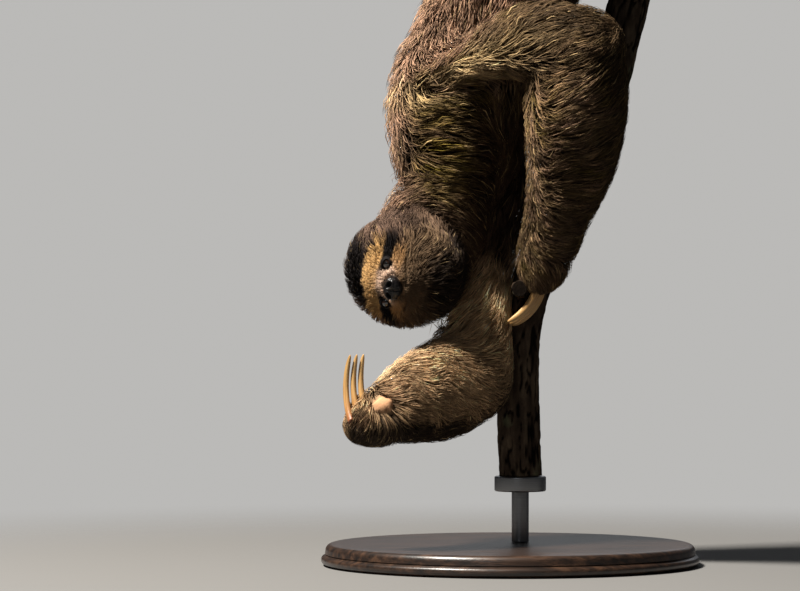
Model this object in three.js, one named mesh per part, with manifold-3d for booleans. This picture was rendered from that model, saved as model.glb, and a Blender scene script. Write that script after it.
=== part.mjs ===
// A life-size three-toed sloth climbing head down along a branch, looking back over its left side and
// reaching out with its right hand. The branch is held by a plain round stand.
// Millimetres, +Z up. The origin is the centre of the stand's underside. The sloth's back faces -X,
// its left side faces -Y, and its belly faces the branch at +X.
// Every solid of the body reaches out to the tips of the coat.

import * as THREE from "three";
import { mergeVertices } from "three/addons/utils/BufferGeometryUtils.js";
import Module from "manifold-3d";

const wasm = await Module();
wasm.setup();

// ---- Driving dimensions ----------------------------------------------------------------------

const GAP = 0.4; // clearance that parted pieces keep
const BRANCH_RADIUS = 19;
const TWIG_RADIUS = 7;
const BASE_RADIUS = 175;
const BASE_HEIGHT = 20;
const BASE_BEVEL = 4;
const ROD_RADIUS = 8;
const COLLAR_RADIUS = 24;
const COLLAR_HEIGHT = 14;
const CAP_TIP = 0.35; // the step from a round cap's last ring to its tip, where the others are one

// The head's half sizes, with its coat, and what stands on it: each place is left, up and front.
const HEAD_HALF = { side: 50, up: 54, back: 47, face: 40 };
const FACE_ROUNDNESS = 0.72; // 1 leaves the face round, and less flattens it
const MUZZLE = { rise: 15, side: 19, up: 15, drop: 9 };
const BROW = { rise: 4, side: 34, up: 11, lift: 17 };
const EYE = { radius: 6, spread: 18.5, lift: 4, front: 36.5 };
const NOSE = { at: [0, -6, 49.5], half: [11, 8.5, 7.5] };
const EAR = { at: [47, 6, -2], half: [7, 12, 9] };

// A claw's length along its curve, its bend in radians, and its half width and half depth at the root.
const HAND_CLAW = { length: 65, bend: 1.35, width: 2.9, depth: 3.9, pitch: 8.0 };
const FOOT_CLAW = { length: 50, bend: 2.05, width: 2.8, depth: 3.7, pitch: 6.8 };
const CLAW_TAPER = { amount: 0.88, power: 3 };

// How finely each kind of body is divided: rings along it, sides around it, rings in each round end.
const DETAIL = {
  trunk: { rings: 16, sides: 18, caps: 3 },
  neck: { rings: 6, sides: 16 },
  tail: { rings: 4, sides: 10 },
  hand: { rings: 4 },
  branch: { rings: 20, sides: 12 },
  twig: { rings: 3, sides: 8 },
  claw: { rings: 6, sides: 6 },
  head: { rings: 16, sides: 24 },
  bead: { rings: 7, sides: 10 },
  base: { sides: 48 },
  rod: { sides: 20 },
  collar: { sides: 24 },
};

const COLOURS = {
  coat: 0x5d4a36,
  face: 0xb08d5c,
  nose: 0x17130f,
  eye: 0x1d120a,
  claw: 0xb3935c,
  bark: 0x4a3b2d,
  stand: 0x24211f,
  metal: 0x77787a,
};

// ---- Vectors and profiles ---------------------------------------------------------------------

const vec = (x, y, z) => new THREE.Vector3(x, y, z);

// Interpolates a list of numbers smoothly at t from 0 to 1, by Catmull-Rom.
function blend(values, t) {
  const last = values.length - 1;
  const at = Math.min(t * last, last - 1e-9);
  const i = Math.floor(at);
  const u = at - i;
  const value = (k) => values[Math.max(0, Math.min(last, k))];
  const [a, b, c, d] = [value(i - 1), value(i), value(i + 1), value(i + 2)];
  return b + 0.5 * u * (c - a + u * (2 * a - 5 * b + 4 * c - d + u * (3 * (b - c) + d - a)));
}

// A station of a body's path: its centre, its half size along the reference axis and across it.
const station = (x, y, z, along, across = along) => ({ at: vec(x, y, z), along, across });

// A direction squared to another one.
function squared(direction, to) {
  const unit = to.clone().normalize();
  return direction.clone().addScaledVector(unit, -direction.dot(unit)).normalize();
}

// ---- Solids -----------------------------------------------------------------------------------

function solidFrom(vertProperties, triVerts) {
  return new wasm.Manifold(new wasm.Mesh({ numProp: 3, vertProperties, triVerts }));
}

// Joins elliptical rings into one closed solid, with a point at the middle of each end ring.
function ringSolid(ringList, sides) {
  const points = [];
  for (const { centre, along, across } of ringList)
    for (let j = 0; j < sides; j++) {
      const angle = (2 * Math.PI * j) / sides;
      const point = centre.clone().addScaledVector(along, Math.cos(angle));
      points.push(point.addScaledVector(across, Math.sin(angle)));
    }
  const index = [];
  for (let i = 0; i + 1 < ringList.length; i++)
    for (let j = 0; j < sides; j++) {
      const [a, b] = [i * sides + j, i * sides + ((j + 1) % sides)];
      index.push(a, b, b + sides, a, b + sides, a + sides);
    }
  const start = points.length;
  const end = (ringList.length - 1) * sides;
  points.push(ringList[0].centre, ringList[ringList.length - 1].centre);
  for (let j = 0; j < sides; j++) {
    const next = (j + 1) % sides;
    index.push(start, next, j, start + 1, end + j, end + next);
  }
  return solidFrom(new Float32Array(points.flatMap((p) => p.toArray())), new Uint32Array(index));
}

// A closed body carried through its stations, with round ends of so many rings each. The along axis
// of each ring is the reference direction, squared to the path. grow is added to every half size.
function tube(stations, reference, { rings = 7, sides = 12, grow = 0, caps = 2 } = {}) {
  const curve = new THREE.CatmullRomCurve3(stations.map((s) => s.at), false, "centripetal");
  const halfAt = (axis, t) => blend(stations.map((s) => s[axis]), t) + grow;
  const ringAt = (t, shrink, push) => {
    const tangent = curve.getTangent(t);
    const along = squared(reference, tangent);
    return {
      centre: curve.getPoint(t).addScaledVector(tangent, push),
      along: along.clone().multiplyScalar(halfAt("along", t) * shrink),
      across: tangent.clone().cross(along).multiplyScalar(halfAt("across", t) * shrink),
    };
  };
  const round = (t, sign) => {
    const reach = 0.5 * (halfAt("along", t) + halfAt("across", t));
    return [...Array(caps).keys()].map((k) => {
      const angle = ((k + 1) / (caps + CAP_TIP)) * (Math.PI / 2);
      return ringAt(t, Math.cos(angle), sign * reach * Math.sin(angle));
    });
  };
  const body = [...Array(rings + 1).keys()].map((i) => ringAt(i / rings, 1, 0));
  return ringSolid([...round(0, -1).reverse(), ...body, ...round(1, 1)], sides);
}

// The solid of a three.js geometry, moved by a matrix.
function solidOf(geometry, matrix = new THREE.Matrix4()) {
  const bare = geometry.clone();
  bare.deleteAttribute("normal");
  bare.deleteAttribute("uv");
  const merged = mergeVertices(bare.applyMatrix4(matrix), 1e-4);
  return solidFrom(merged.attributes.position.array, new Uint32Array(merged.index.array));
}

// Takes the tools out of a solid and keeps its largest body, so that a cut leaves no crumbs.
function cut(solid, ...tools) {
  const rest = tools.reduce((left, tool) => left.subtract(tool), solid);
  return rest.decompose().reduce((best, body) => (body.volume() > best.volume() ? body : best));
}

// Keeps what lies ahead of a plane, less half the gap.
function ahead(solid, { at, normal }) {
  return solid.trimByPlane(normal.toArray(), at.dot(normal) + GAP / 2);
}

// Keeps what lies behind a plane, less half the gap.
function behind(solid, { at, normal }) {
  return ahead(solid, { at, normal: normal.clone().negate() });
}

// The plane that parts two lengths which meet at one station: it halves the bend between them.
function jointPlane(before, after) {
  const joint = after[0].at;
  const arriving = joint.clone().sub(before[before.length - 2].at).normalize();
  const leaving = after[1].at.clone().sub(joint).normalize();
  return { at: joint, normal: arriving.add(leaving).normalize() };
}

function geometryOf(solid) {
  const mesh = solid.getMesh();
  const positions = new Float32Array(mesh.numVert * 3);
  for (let i = 0; i < mesh.numVert; i++)
    positions.set(mesh.vertProperties.subarray(i * mesh.numProp, i * mesh.numProp + 3), i * 3);
  const geometry = new THREE.BufferGeometry();
  geometry.setAttribute("position", new THREE.BufferAttribute(positions, 3));
  geometry.setIndex(new THREE.BufferAttribute(mesh.triVerts, 1));
  geometry.computeVertexNormals();
  return geometry;
}

const sloth = new THREE.Group();
sloth.name = "three_toed_sloth";

function addNode(name, solid, colour, roughness = 0.9, metalness = 0) {
  const material = new THREE.MeshStandardMaterial({ color: colour, roughness, metalness });
  const mesh = new THREE.Mesh(geometryOf(solid), material);
  mesh.name = name;
  sloth.add(mesh);
}

// ---- Trunk, neck and tail ---------------------------------------------------------------------

const BACKWARD = vec(-1, 0, 0); // from the belly to the back

const neckStations = [
  station(-87, -9, 276, 44, 42),
  station(-77, -5, 304, 49, 45),
  station(-66, -2, 336, 48, 46),
  station(-59, 0, 361, 42, 47),
];
const trunkStations = [
  station(-59, 0, 361, 42, 47),
  station(-52, 0, 381, 56, 54),
  station(-50, 0, 404, 66, 60),
  station(-46, 0, 438, 67, 66),
  station(-29, 0, 478, 65, 72),
  station(-3, 0, 538, 68, 77),
  station(16, 0, 616, 72, 81),
  station(24, 0, 694, 72, 83),
  station(22, 0, 752, 60, 70),
];
const tailStations = [
  station(-6, 0, 778, 28, 27),
  station(-20, 0, 797, 23, 23),
  station(-28, 0, 808, 18, 19),
];

const neckPlane = jointPlane(neckStations, trunkStations);
const trunkTube = (grow = 0) => tube(trunkStations, BACKWARD, { ...DETAIL.trunk, grow });
const neckTube = (grow = 0) => tube(neckStations, BACKWARD, { ...DETAIL.neck, grow });
const tailTube = tube(tailStations, BACKWARD, DETAIL.tail);

// ---- Head -------------------------------------------------------------------------------------

// The head's own frame: it looks along the face direction, with its crown towards the sloth's back.
const headCentre = vec(-97, -36, 273);
const faceDirection = vec(-0.36, -0.9, -0.33).normalize();
const crownDirection = squared(vec(-1, 0, 0.03), faceDirection);
const headLeft = crownDirection.clone().cross(faceDirection);
const headFrame = new THREE.Matrix4().makeBasis(headLeft, crownDirection, faceDirection);
headFrame.setPosition(headCentre);

// A smooth hill of height one, at a point across and up a face, with its half widths.
const hill = (x, y, halfX, halfY) => Math.exp(-((x / halfX) ** 2) - (y / halfY) ** 2);

// The head's surface in its own frame, from a direction: an egg with a flat face, a low brow and a
// short blunt muzzle.
function headPoint(direction, grow) {
  const left = direction.x * (HEAD_HALF.side + grow);
  const up = direction.y * (HEAD_HALF.up + grow);
  if (direction.z <= 0) return vec(left, up, direction.z * (HEAD_HALF.back + grow));
  const flat = (HEAD_HALF.face + grow) * direction.z ** FACE_ROUNDNESS;
  const muzzle = MUZZLE.rise * hill(left, up + MUZZLE.drop, MUZZLE.side, MUZZLE.up);
  const brow = BROW.rise * hill(left, up - BROW.lift, BROW.side, BROW.up);
  return vec(left, up, flat + (muzzle + brow) * direction.z);
}

function headSolid(grow = 0) {
  const geometry = new THREE.SphereGeometry(1, DETAIL.head.sides, DETAIL.head.rings);
  geometry.rotateX(Math.PI / 2);
  const position = geometry.attributes.position;
  for (let i = 0; i < position.count; i++) {
    const point = headPoint(vec(0, 0, 0).fromBufferAttribute(position, i).normalize(), grow);
    position.setXYZ(i, point.x, point.y, point.z);
  }
  return solidOf(geometry, headFrame);
}

// An ellipsoid in the head's frame.
function headBead([left, up, front], half, grow = 0) {
  const geometry = new THREE.SphereGeometry(1, DETAIL.bead.sides, DETAIL.bead.rings);
  geometry.scale(half[0] + grow, half[1] + grow, half[2] + grow);
  geometry.translate(left, up, front);
  return solidOf(geometry, headFrame);
}

const onRight = ([left, up, front]) => [-left, up, front];
const eyeAt = [EYE.spread, EYE.lift, EYE.front];
const eyeHalf = [EYE.radius, EYE.radius, EYE.radius];
const headPieces = [
  { name: "nose", at: NOSE.at, half: NOSE.half, colour: COLOURS.nose, roughness: 0.35 },
  { name: "left_eye", at: eyeAt, half: eyeHalf, colour: COLOURS.eye, roughness: 0.15 },
  { name: "right_eye", at: onRight(eyeAt), half: eyeHalf, colour: COLOURS.eye, roughness: 0.15 },
  { name: "left_ear", at: EAR.at, half: EAR.half, colour: COLOURS.coat, roughness: 0.9 },
  { name: "right_ear", at: onRight(EAR.at), half: EAR.half, colour: COLOURS.coat, roughness: 0.9 },
];

// ---- Claws ------------------------------------------------------------------------------------

// A claw that leaves its start along a heading and curls round an axis, tapering to its tip.
function clawSolid(start, direction, axis, size) {
  const steps = DETAIL.claw.rings;
  const step = size.length / steps;
  const lateral = squared(axis, direction);
  const heading = direction.clone().normalize();
  const place = start.clone();
  const ringList = [];
  for (let i = 0; i <= steps; i++) {
    const taper = Math.sqrt(1 - CLAW_TAPER.amount * (i / steps) ** CLAW_TAPER.power);
    ringList.push({
      centre: place.clone(),
      along: lateral.clone().cross(heading).multiplyScalar(size.depth * taper),
      across: lateral.clone().multiplyScalar(size.width * taper),
    });
    place.addScaledVector(heading, step);
    heading.applyAxisAngle(lateral, size.bend / steps);
  }
  return ringSolid(ringList, DETAIL.claw.sides);
}

// Three claws side by side along a row. fan turns the outer two towards the middle one.
function clawRow({ start, direction, curl, row, fan = 0 }, size) {
  const side = row.clone().normalize();
  return [-1, 0, 1].map((k) => {
    const root = start.clone().addScaledVector(side, k * size.pitch);
    const heading = direction.clone().normalize().addScaledVector(side, -k * fan);
    return clawSolid(root, heading, curl, size);
  });
}

// ---- Limbs ------------------------------------------------------------------------------------

// Each limb runs through an upper length, a lower length and a hand or foot, which share their end
// stations. Each length has the reference axis of its rings.
const limbs = [
  {
    side: "left",
    names: ["upper_arm", "forearm", "hand"],
    size: HAND_CLAW,
    references: [vec(0.1, 0.95, 0.3), vec(0.9, 0.1, 0.1), vec(1, 0, 0)],
    upper: [
      station(-68, -42, 447, 29, 14),
      station(-36, -57, 464, 34, 18),
      station(-8, -67, 475, 37, 27),
      station(26, -77, 478, 42, 39),
      station(57, -84, 468, 45, 46),
    ],
    lower: [
      station(57, -84, 468, 45, 46),
      station(57, -79, 422, 48, 45),
      station(54, -59, 372, 41, 40),
      station(43, -39, 326, 31, 32),
      station(32, -27, 288, 27, 26),
    ],
    end: [station(32, -27, 288, 27, 26), station(29, -25, 276, 23, 22), station(27, -23, 266, 14, 18)],
    claws: {
      start: vec(27, -19, 277),
      direction: vec(0.08, -0.02, -0.99),
      curl: vec(0.12, 0.97, -0.2),
      row: vec(0.3, 0.92, -0.2),
    },
  },
  {
    side: "right",
    names: ["upper_arm", "forearm", "hand"],
    size: HAND_CLAW,
    references: [vec(0, 1, 0), vec(0, 0, 1), vec(0, 0, 1)],
    upper: [
      station(-22, 34, 392, 30, 38),
      station(-18, 28, 330, 28, 38),
      station(-29, 8, 262, 28, 31),
      station(-41, -13, 174, 44, 43),
    ],
    lower: [
      station(-41, -13, 174, 44, 43),
      station(-64, -43, 164, 47, 40),
      station(-85, -74, 158, 42, 35),
      station(-106, -99, 149, 33, 30),
    ],
    end: [
      station(-106, -99, 149, 33, 30),
      station(-124, -110, 140, 26, 25),
      station(-136, -113, 133, 15, 19),
    ],
    claws: {
      start: vec(-137.5, -127, 137),
      direction: vec(-0.28, 0.54, 0.79),
      curl: vec(0.89, 0.45, 0),
      row: vec(1, 0, 0.05),
      fan: 0.04,
    },
  },
  {
    side: "left",
    names: ["thigh", "shin", "foot"],
    size: FOOT_CLAW,
    references: [vec(0.2, 0.3, 0.93), vec(1, 0, 0), vec(0, 0, 1)],
    upper: [station(26, -34, 718, 52, 48), station(68, -64, 710, 46), station(110, -92, 706, 36)],
    lower: [station(110, -92, 706, 36), station(122, -80, 750, 31), station(127, -56, 794, 23)],
    end: [station(127, -56, 794, 23), station(138, -33, 814, 17), station(150, -17, 823, 11, 13)],
    claws: {
      start: vec(153, -7, 825),
      direction: vec(0.86, 0.5, 0),
      curl: vec(0, 0, 1),
      row: vec(0, 0, 1),
    },
  },
  {
    side: "right",
    names: ["thigh", "shin", "foot"],
    size: FOOT_CLAW,
    references: [vec(0.2, 0.3, 0.93), vec(1, 0, 0), vec(0, 0, 1)],
    upper: [station(26, 34, 718, 52, 48), station(70, 74, 702, 46), station(110, 108, 684, 36)],
    lower: [station(110, 108, 684, 36), station(124, 102, 718, 31), station(130, 82, 750, 23)],
    end: [station(130, 82, 750, 23), station(140, 60, 762, 17), station(149, 47, 767, 11, 13)],
    claws: {
      start: vec(150, 37, 768),
      direction: vec(0.86, -0.5, 0),
      curl: vec(0, 0, -1),
      row: vec(0, 0, 1),
    },
  },
];

// ---- Branch -----------------------------------------------------------------------------------

// The branch rises from the stand past the elbow, behind the left forearm and up under the belly.
const branchStations = [
  station(10, 18, 82, BRANCH_RADIUS + 1),
  station(8, 18, 180, BRANCH_RADIUS),
  station(16, 20, 245, BRANCH_RADIUS),
  station(48, 22, 338, BRANCH_RADIUS),
  station(86, 22, 430, BRANCH_RADIUS),
  station(118, 20, 560, BRANCH_RADIUS),
  station(134, 16, 700, BRANCH_RADIUS),
  station(141, 14, 830, BRANCH_RADIUS),
  station(142, 14, 900, BRANCH_RADIUS - 1),
];

// The stub of a side twig, which the left hand hooks.
const twigStations = [
  station(16, 18, 251, TWIG_RADIUS + 4),
  station(10, -7, 255, TWIG_RADIUS + 1),
  station(8, -31, 256, TWIG_RADIUS),
];

// A round rod through its stations with flat ends.
function rod(stations, detail, grow) {
  return tube(stations, vec(1, 0, 0.1), { ...detail, grow, caps: 0 });
}

function branchSolid(grow = 0) {
  return rod(branchStations, DETAIL.branch, grow).add(rod(twigStations, DETAIL.twig, grow));
}

// ---- Assembly ---------------------------------------------------------------------------------

const branchTool = branchSolid(GAP);
const trunkTool = ahead(trunkTube(GAP), { at: neckPlane.at, normal: neckPlane.normal });
const headTool = headSolid(GAP);
const pieceTools = headPieces.map(({ at, half }) => headBead(at, half, GAP));

addNode("head", cut(headSolid(), ...pieceTools), COLOURS.face);
for (const { name, at, half, colour, roughness } of headPieces)
  addNode(name, headBead(at, half), colour, roughness);

addNode("neck", cut(behind(neckTube(), neckPlane), headTool, ...pieceTools), COLOURS.coat);
addNode("trunk", cut(ahead(trunkTube(), neckPlane), branchTool), COLOURS.coat);
addNode("tail", cut(tailTube, trunkTool), COLOURS.coat);

// The three lengths of a limb, parted by the planes between them.
function limbLengths({ references, upper, lower, end }, grow) {
  const middlePlane = jointPlane(upper, lower);
  const endPlane = jointPlane(lower, end);
  return [
    behind(tube(upper, references[0], { grow }), middlePlane),
    behind(ahead(tube(lower, references[1], { grow }), middlePlane), endPlane),
    ahead(tube(end, references[2], { ...DETAIL.hand, grow }), endPlane),
  ];
}

const trunkTools = [trunkTool, neckTube(GAP), headTool, ...pieceTools, branchTool];
const limbTools = limbs.flatMap((limb) => limbLengths(limb, GAP));
for (const limb of limbs) {
  const named = (part) => `${limb.side}_${limb.names[part]}`;
  const [upper, lower, end] = limbLengths(limb, 0);
  addNode(named(0), cut(upper, ...trunkTools), COLOURS.coat);
  addNode(named(1), cut(lower, headTool, branchTool), COLOURS.coat);
  addNode(named(2), cut(end, branchTool), COLOURS.coat);
  clawRow(limb.claws, limb.size).forEach((claw, k) => {
    addNode(`${named(2)}_claw_${k + 1}`, cut(claw, ...limbTools, branchTool), COLOURS.claw, 0.45);
  });
}

addNode("perch_branch", branchSolid(), COLOURS.bark, 0.95);

const foot = branchStations[0].at; // the branch's lower end, over the rod
const upright = new THREE.Matrix4().makeRotationX(Math.PI / 2);
const baseProfile = [
  new THREE.Vector2(0, 0),
  new THREE.Vector2(BASE_RADIUS, 0),
  new THREE.Vector2(BASE_RADIUS, BASE_HEIGHT - BASE_BEVEL),
  new THREE.Vector2(BASE_RADIUS - BASE_BEVEL, BASE_HEIGHT),
  new THREE.Vector2(0, BASE_HEIGHT),
];
const baseGeometry = new THREE.LatheGeometry(baseProfile, DETAIL.base.sides);
addNode("stand_base", solidOf(baseGeometry, upright), COLOURS.stand, 0.4);

// An upright cylinder between two heights, under the branch's lower end.
function post(radius, low, high, sides) {
  const geometry = new THREE.CylinderGeometry(radius, radius, high - low, sides);
  return solidOf(geometry, upright.clone().setPosition(foot.x, foot.y, (low + high) / 2));
}
const collarTop = foot.z - GAP;
const collarBottom = collarTop - COLLAR_HEIGHT;
const rodSolid = post(ROD_RADIUS, BASE_HEIGHT + GAP, collarBottom - GAP, DETAIL.rod.sides);
const collarSolid = post(COLLAR_RADIUS, collarBottom, collarTop, DETAIL.collar.sides);
addNode("stand_rod", rodSolid, COLOURS.metal, 0.3, 1);
addNode("stand_collar", collarSolid, COLOURS.metal, 0.3, 1);

export default sloth;
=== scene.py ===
"""Looks of a life-size three-toed sloth that climbs head down along a branch on a round stand.

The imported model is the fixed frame. One skin stands for every node of flesh and lies inside them by
the coat's depth. Locks of fur lie over it, combed along the lie of the coat, up to the solids'
outline. Eyes, nose, claws, branch and stand are pieces of their own.

The sums are in millimetres and the meshes in metres, +Z up. The sloth's back faces -X and its left
side faces -Y. A head place is (left, up, front) in the head's own frame.
"""

import logging
import math
from dataclasses import dataclass, field
from enum import Enum

import bmesh
import bpy
import numpy as np
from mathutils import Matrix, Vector


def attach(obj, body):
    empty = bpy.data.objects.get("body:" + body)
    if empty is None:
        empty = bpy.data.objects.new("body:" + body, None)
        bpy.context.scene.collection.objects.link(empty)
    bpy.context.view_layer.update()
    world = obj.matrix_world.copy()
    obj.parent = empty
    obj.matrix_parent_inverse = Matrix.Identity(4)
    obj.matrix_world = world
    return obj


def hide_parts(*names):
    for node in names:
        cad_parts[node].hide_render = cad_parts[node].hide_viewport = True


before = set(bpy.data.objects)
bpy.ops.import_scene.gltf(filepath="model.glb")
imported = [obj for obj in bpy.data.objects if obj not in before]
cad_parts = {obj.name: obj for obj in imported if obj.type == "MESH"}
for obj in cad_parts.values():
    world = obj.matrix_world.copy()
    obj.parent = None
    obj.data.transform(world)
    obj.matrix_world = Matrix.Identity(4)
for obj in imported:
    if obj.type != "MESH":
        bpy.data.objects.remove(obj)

log = logging.getLogger("sloth")
Array = np.ndarray
Triple = tuple[float, float, float]
MM = 0.001
SEED = 31


# ---- Sums on arrays ---------------------------------------------------------------------------


def unit(vectors: Array) -> Array:
    """Each vector divided by its length."""
    length = np.linalg.norm(vectors, axis=-1, keepdims=True)
    return vectors / np.maximum(length, 1e-9)


def square_to(vectors: Array, normals: Array) -> Array:
    """Each vector less its share along the unit normal, made a unit again."""
    return unit(vectors - normals * np.sum(vectors * normals, axis=-1, keepdims=True))


def hill(x: Array, y: Array, half_x: float, half_y: float) -> Array:
    """A smooth hill of height one: e to the minus (x over half_x) squared, (y over half_y) squared."""
    return np.exp(-((x / half_x) ** 2) - (y / half_y) ** 2)


def ease(low: float, high: float, x: Array) -> Array:
    """Zero under low, one over high, and 3t squared less 2t cubed between."""
    t = np.clip((x - low) / (high - low), 0.0, 1.0)
    return t * t * (3.0 - 2.0 * t)


def ripple(points: Array, size: float, seed: int) -> Array:
    """Smooth noise near -1 to 1: the sum of ten sines of random direction, a size apart.

    Args:
        points: Places, in millimetres.
        size: The length of the waves.
        seed: Which of the noises.

    Returns:
        One value for each place.
    """
    rng = np.random.default_rng(seed)
    waves = unit(rng.normal(size=(10, 3))) * (2 * math.pi / size)
    waves *= rng.uniform(0.6, 1.5, (10, 1))
    phase = rng.uniform(0, 2 * math.pi, 10)
    return np.sin(points @ waves.T + phase).sum(axis=1) / 3.2


def linear(red: float, green: float, blue: float) -> Array:
    """A colour of 0 to 255 steps as the light it gives back, by the sRGB curve."""
    c = np.array([red, green, blue]) / 255.0
    return np.where(c <= 0.04045, c / 12.92, ((c + 0.055) / 1.055) ** 2.4)


def mix(first: Array, second: Array, share: Array) -> Array:
    """The first colour moved towards the second by a share for each point."""
    return first + (second - first) * np.asarray(share)[..., None]


# ---- Meshes -----------------------------------------------------------------------------------


def mesh_object(name: str, points: Array, faces: Array, smooth: bool = True) -> bpy.types.Object:
    """Makes an object at the origin from places in millimetres.

    Args:
        name: The piece's name.
        points: The vertices, n by 3.
        faces: Corner numbers, m by 3 or m by 4.
        smooth: Whether its faces shade smooth.

    Returns:
        The new object, linked to the scene.
    """
    mesh = bpy.data.meshes.new(name)
    count, sides = faces.shape
    mesh.vertices.add(len(points))
    mesh.vertices.foreach_set("co", (points * MM).astype(np.float32).ravel())
    mesh.loops.add(count * sides)
    mesh.loops.foreach_set("vertex_index", faces.astype(np.int32).ravel())
    mesh.polygons.add(count)
    mesh.polygons.foreach_set("loop_start", np.arange(0, count * sides, sides, dtype=np.int32))
    mesh.polygons.foreach_set("use_smooth", np.full(count, smooth))
    mesh.update(calc_edges=True)
    piece = bpy.data.objects.new(name, mesh)
    bpy.context.scene.collection.objects.link(piece)
    return piece


def coordinates(mesh: bpy.types.Mesh) -> Array:
    """A mesh's vertices in millimetres.

    Args:
        mesh: The mesh.

    Returns:
        Its vertices, n by 3.
    """
    flat = np.empty(len(mesh.vertices) * 3, np.float32)
    mesh.vertices.foreach_get("co", flat)
    return flat.reshape(-1, 3).astype(float) / MM


def move_vertices(mesh: bpy.types.Mesh, points: Array) -> None:
    """Puts a mesh's vertices at places in millimetres."""
    mesh.vertices.foreach_set("co", (points * MM).astype(np.float32).ravel())
    mesh.update()


def triangles(mesh: bpy.types.Mesh) -> Array:
    """The corner numbers of a mesh's triangles.

    Args:
        mesh: The mesh.

    Returns:
        Corner numbers, n by 3.
    """
    mesh.calc_loop_triangles()
    flat = np.empty(len(mesh.loop_triangles) * 3, np.int32)
    mesh.loop_triangles.foreach_get("vertices", flat)
    return flat.reshape(-1, 3)


def paint(mesh: bpy.types.Mesh, name: str, colours: Array) -> None:
    """Stores one colour for each vertex under a name.

    Args:
        mesh: The mesh.
        name: The layer's name.
        colours: Light given back, n by 3.
    """
    layer = mesh.color_attributes.new(name=name, type="FLOAT_COLOR", domain="POINT")
    full = np.ones((len(colours), 4), np.float32)
    full[:, :3] = np.clip(colours, 0.0, 1.0)
    layer.data.foreach_set("color", full.ravel())


def store(mesh: bpy.types.Mesh, name: str, values: Array) -> None:
    """Stores three numbers for each vertex under a name."""
    layer = mesh.attributes.new(name=name, type="FLOAT_VECTOR", domain="POINT")
    layer.data.foreach_set("vector", values.astype(np.float32).ravel())


def ring_faces(rings: int, sides: int, start: int = 0) -> Array:
    """The four-sided faces between rings of as many sides, faces outwards for a right-hand turn.

    Args:
        rings: How many rings.
        sides: Corners of a ring.
        start: The number of the first corner.

    Returns:
        Corner numbers, n by 4.
    """
    i, j = np.meshgrid(np.arange(rings - 1), np.arange(sides), indexing="ij")
    here, beside = i * sides + j, i * sides + (j + 1) % sides
    return start + np.stack([here, beside, beside + sides, here + sides], -1).reshape(-1, 4)


def closed_tube(rings: Array) -> tuple[Array, Array]:
    """Closes rings of points with a fan of three-sided faces at each end.

    Args:
        rings: Places, rings by sides by 3. Each ring turns to the right seen along the path.

    Returns:
        The vertices and the faces, all of four corners, where a fan's repeats its middle.
    """
    count, sides, _ = rings.shape
    middles = np.array([rings[0].mean(axis=0), rings[-1].mean(axis=0)])
    points = np.concatenate([rings.reshape(-1, 3), middles])
    j = np.arange(sides)
    beside = (j + 1) % sides
    last = (count - 1) * sides
    low = np.stack([beside, j, np.full(sides, count * sides)], -1)
    high = np.stack([last + j, last + beside, np.full(sides, count * sides + 1)], -1)
    quads = ring_faces(count, sides)
    halves = np.concatenate([quads[:, [0, 1, 2]], quads[:, [0, 2, 3]]])
    return points, np.concatenate([halves, low, high])


# ---- Paths through the body -------------------------------------------------------------------


class Region(Enum):
    """The stretches of coat that are made as pieces of their own."""

    HEAD = "head"
    NECK = "neck"
    TRUNK = "trunk"
    TAIL = "tail"
    LEFT_ARM = "arm_left"
    RIGHT_ARM = "arm_right"
    LEFT_LEG = "leg_left"
    RIGHT_LEG = "leg_right"


def catmull_rom(knots: Array, at: Array) -> Array:
    """Carries a smooth curve through rows of numbers, uniform Catmull-Rom, at 0 to 1.

    Args:
        knots: Rows of numbers.
        at: Places from 0 to 1.

    Returns:
        One row for each place.
    """
    last = len(knots) - 1
    place = np.clip(at, 0, 1) * last
    i = np.minimum(place.astype(int), last - 1)
    u = (place - i)[:, None]
    ends = np.concatenate([[2 * knots[0] - knots[1]], knots, [2 * knots[-1] - knots[-2]]])
    a, b, c, d = ends[i], ends[i + 1], ends[i + 2], ends[i + 3]
    return b + 0.5 * u * (c - a + u * (2 * a - 5 * b + 4 * c - d + u * (3 * (b - c) + d - a)))


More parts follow.
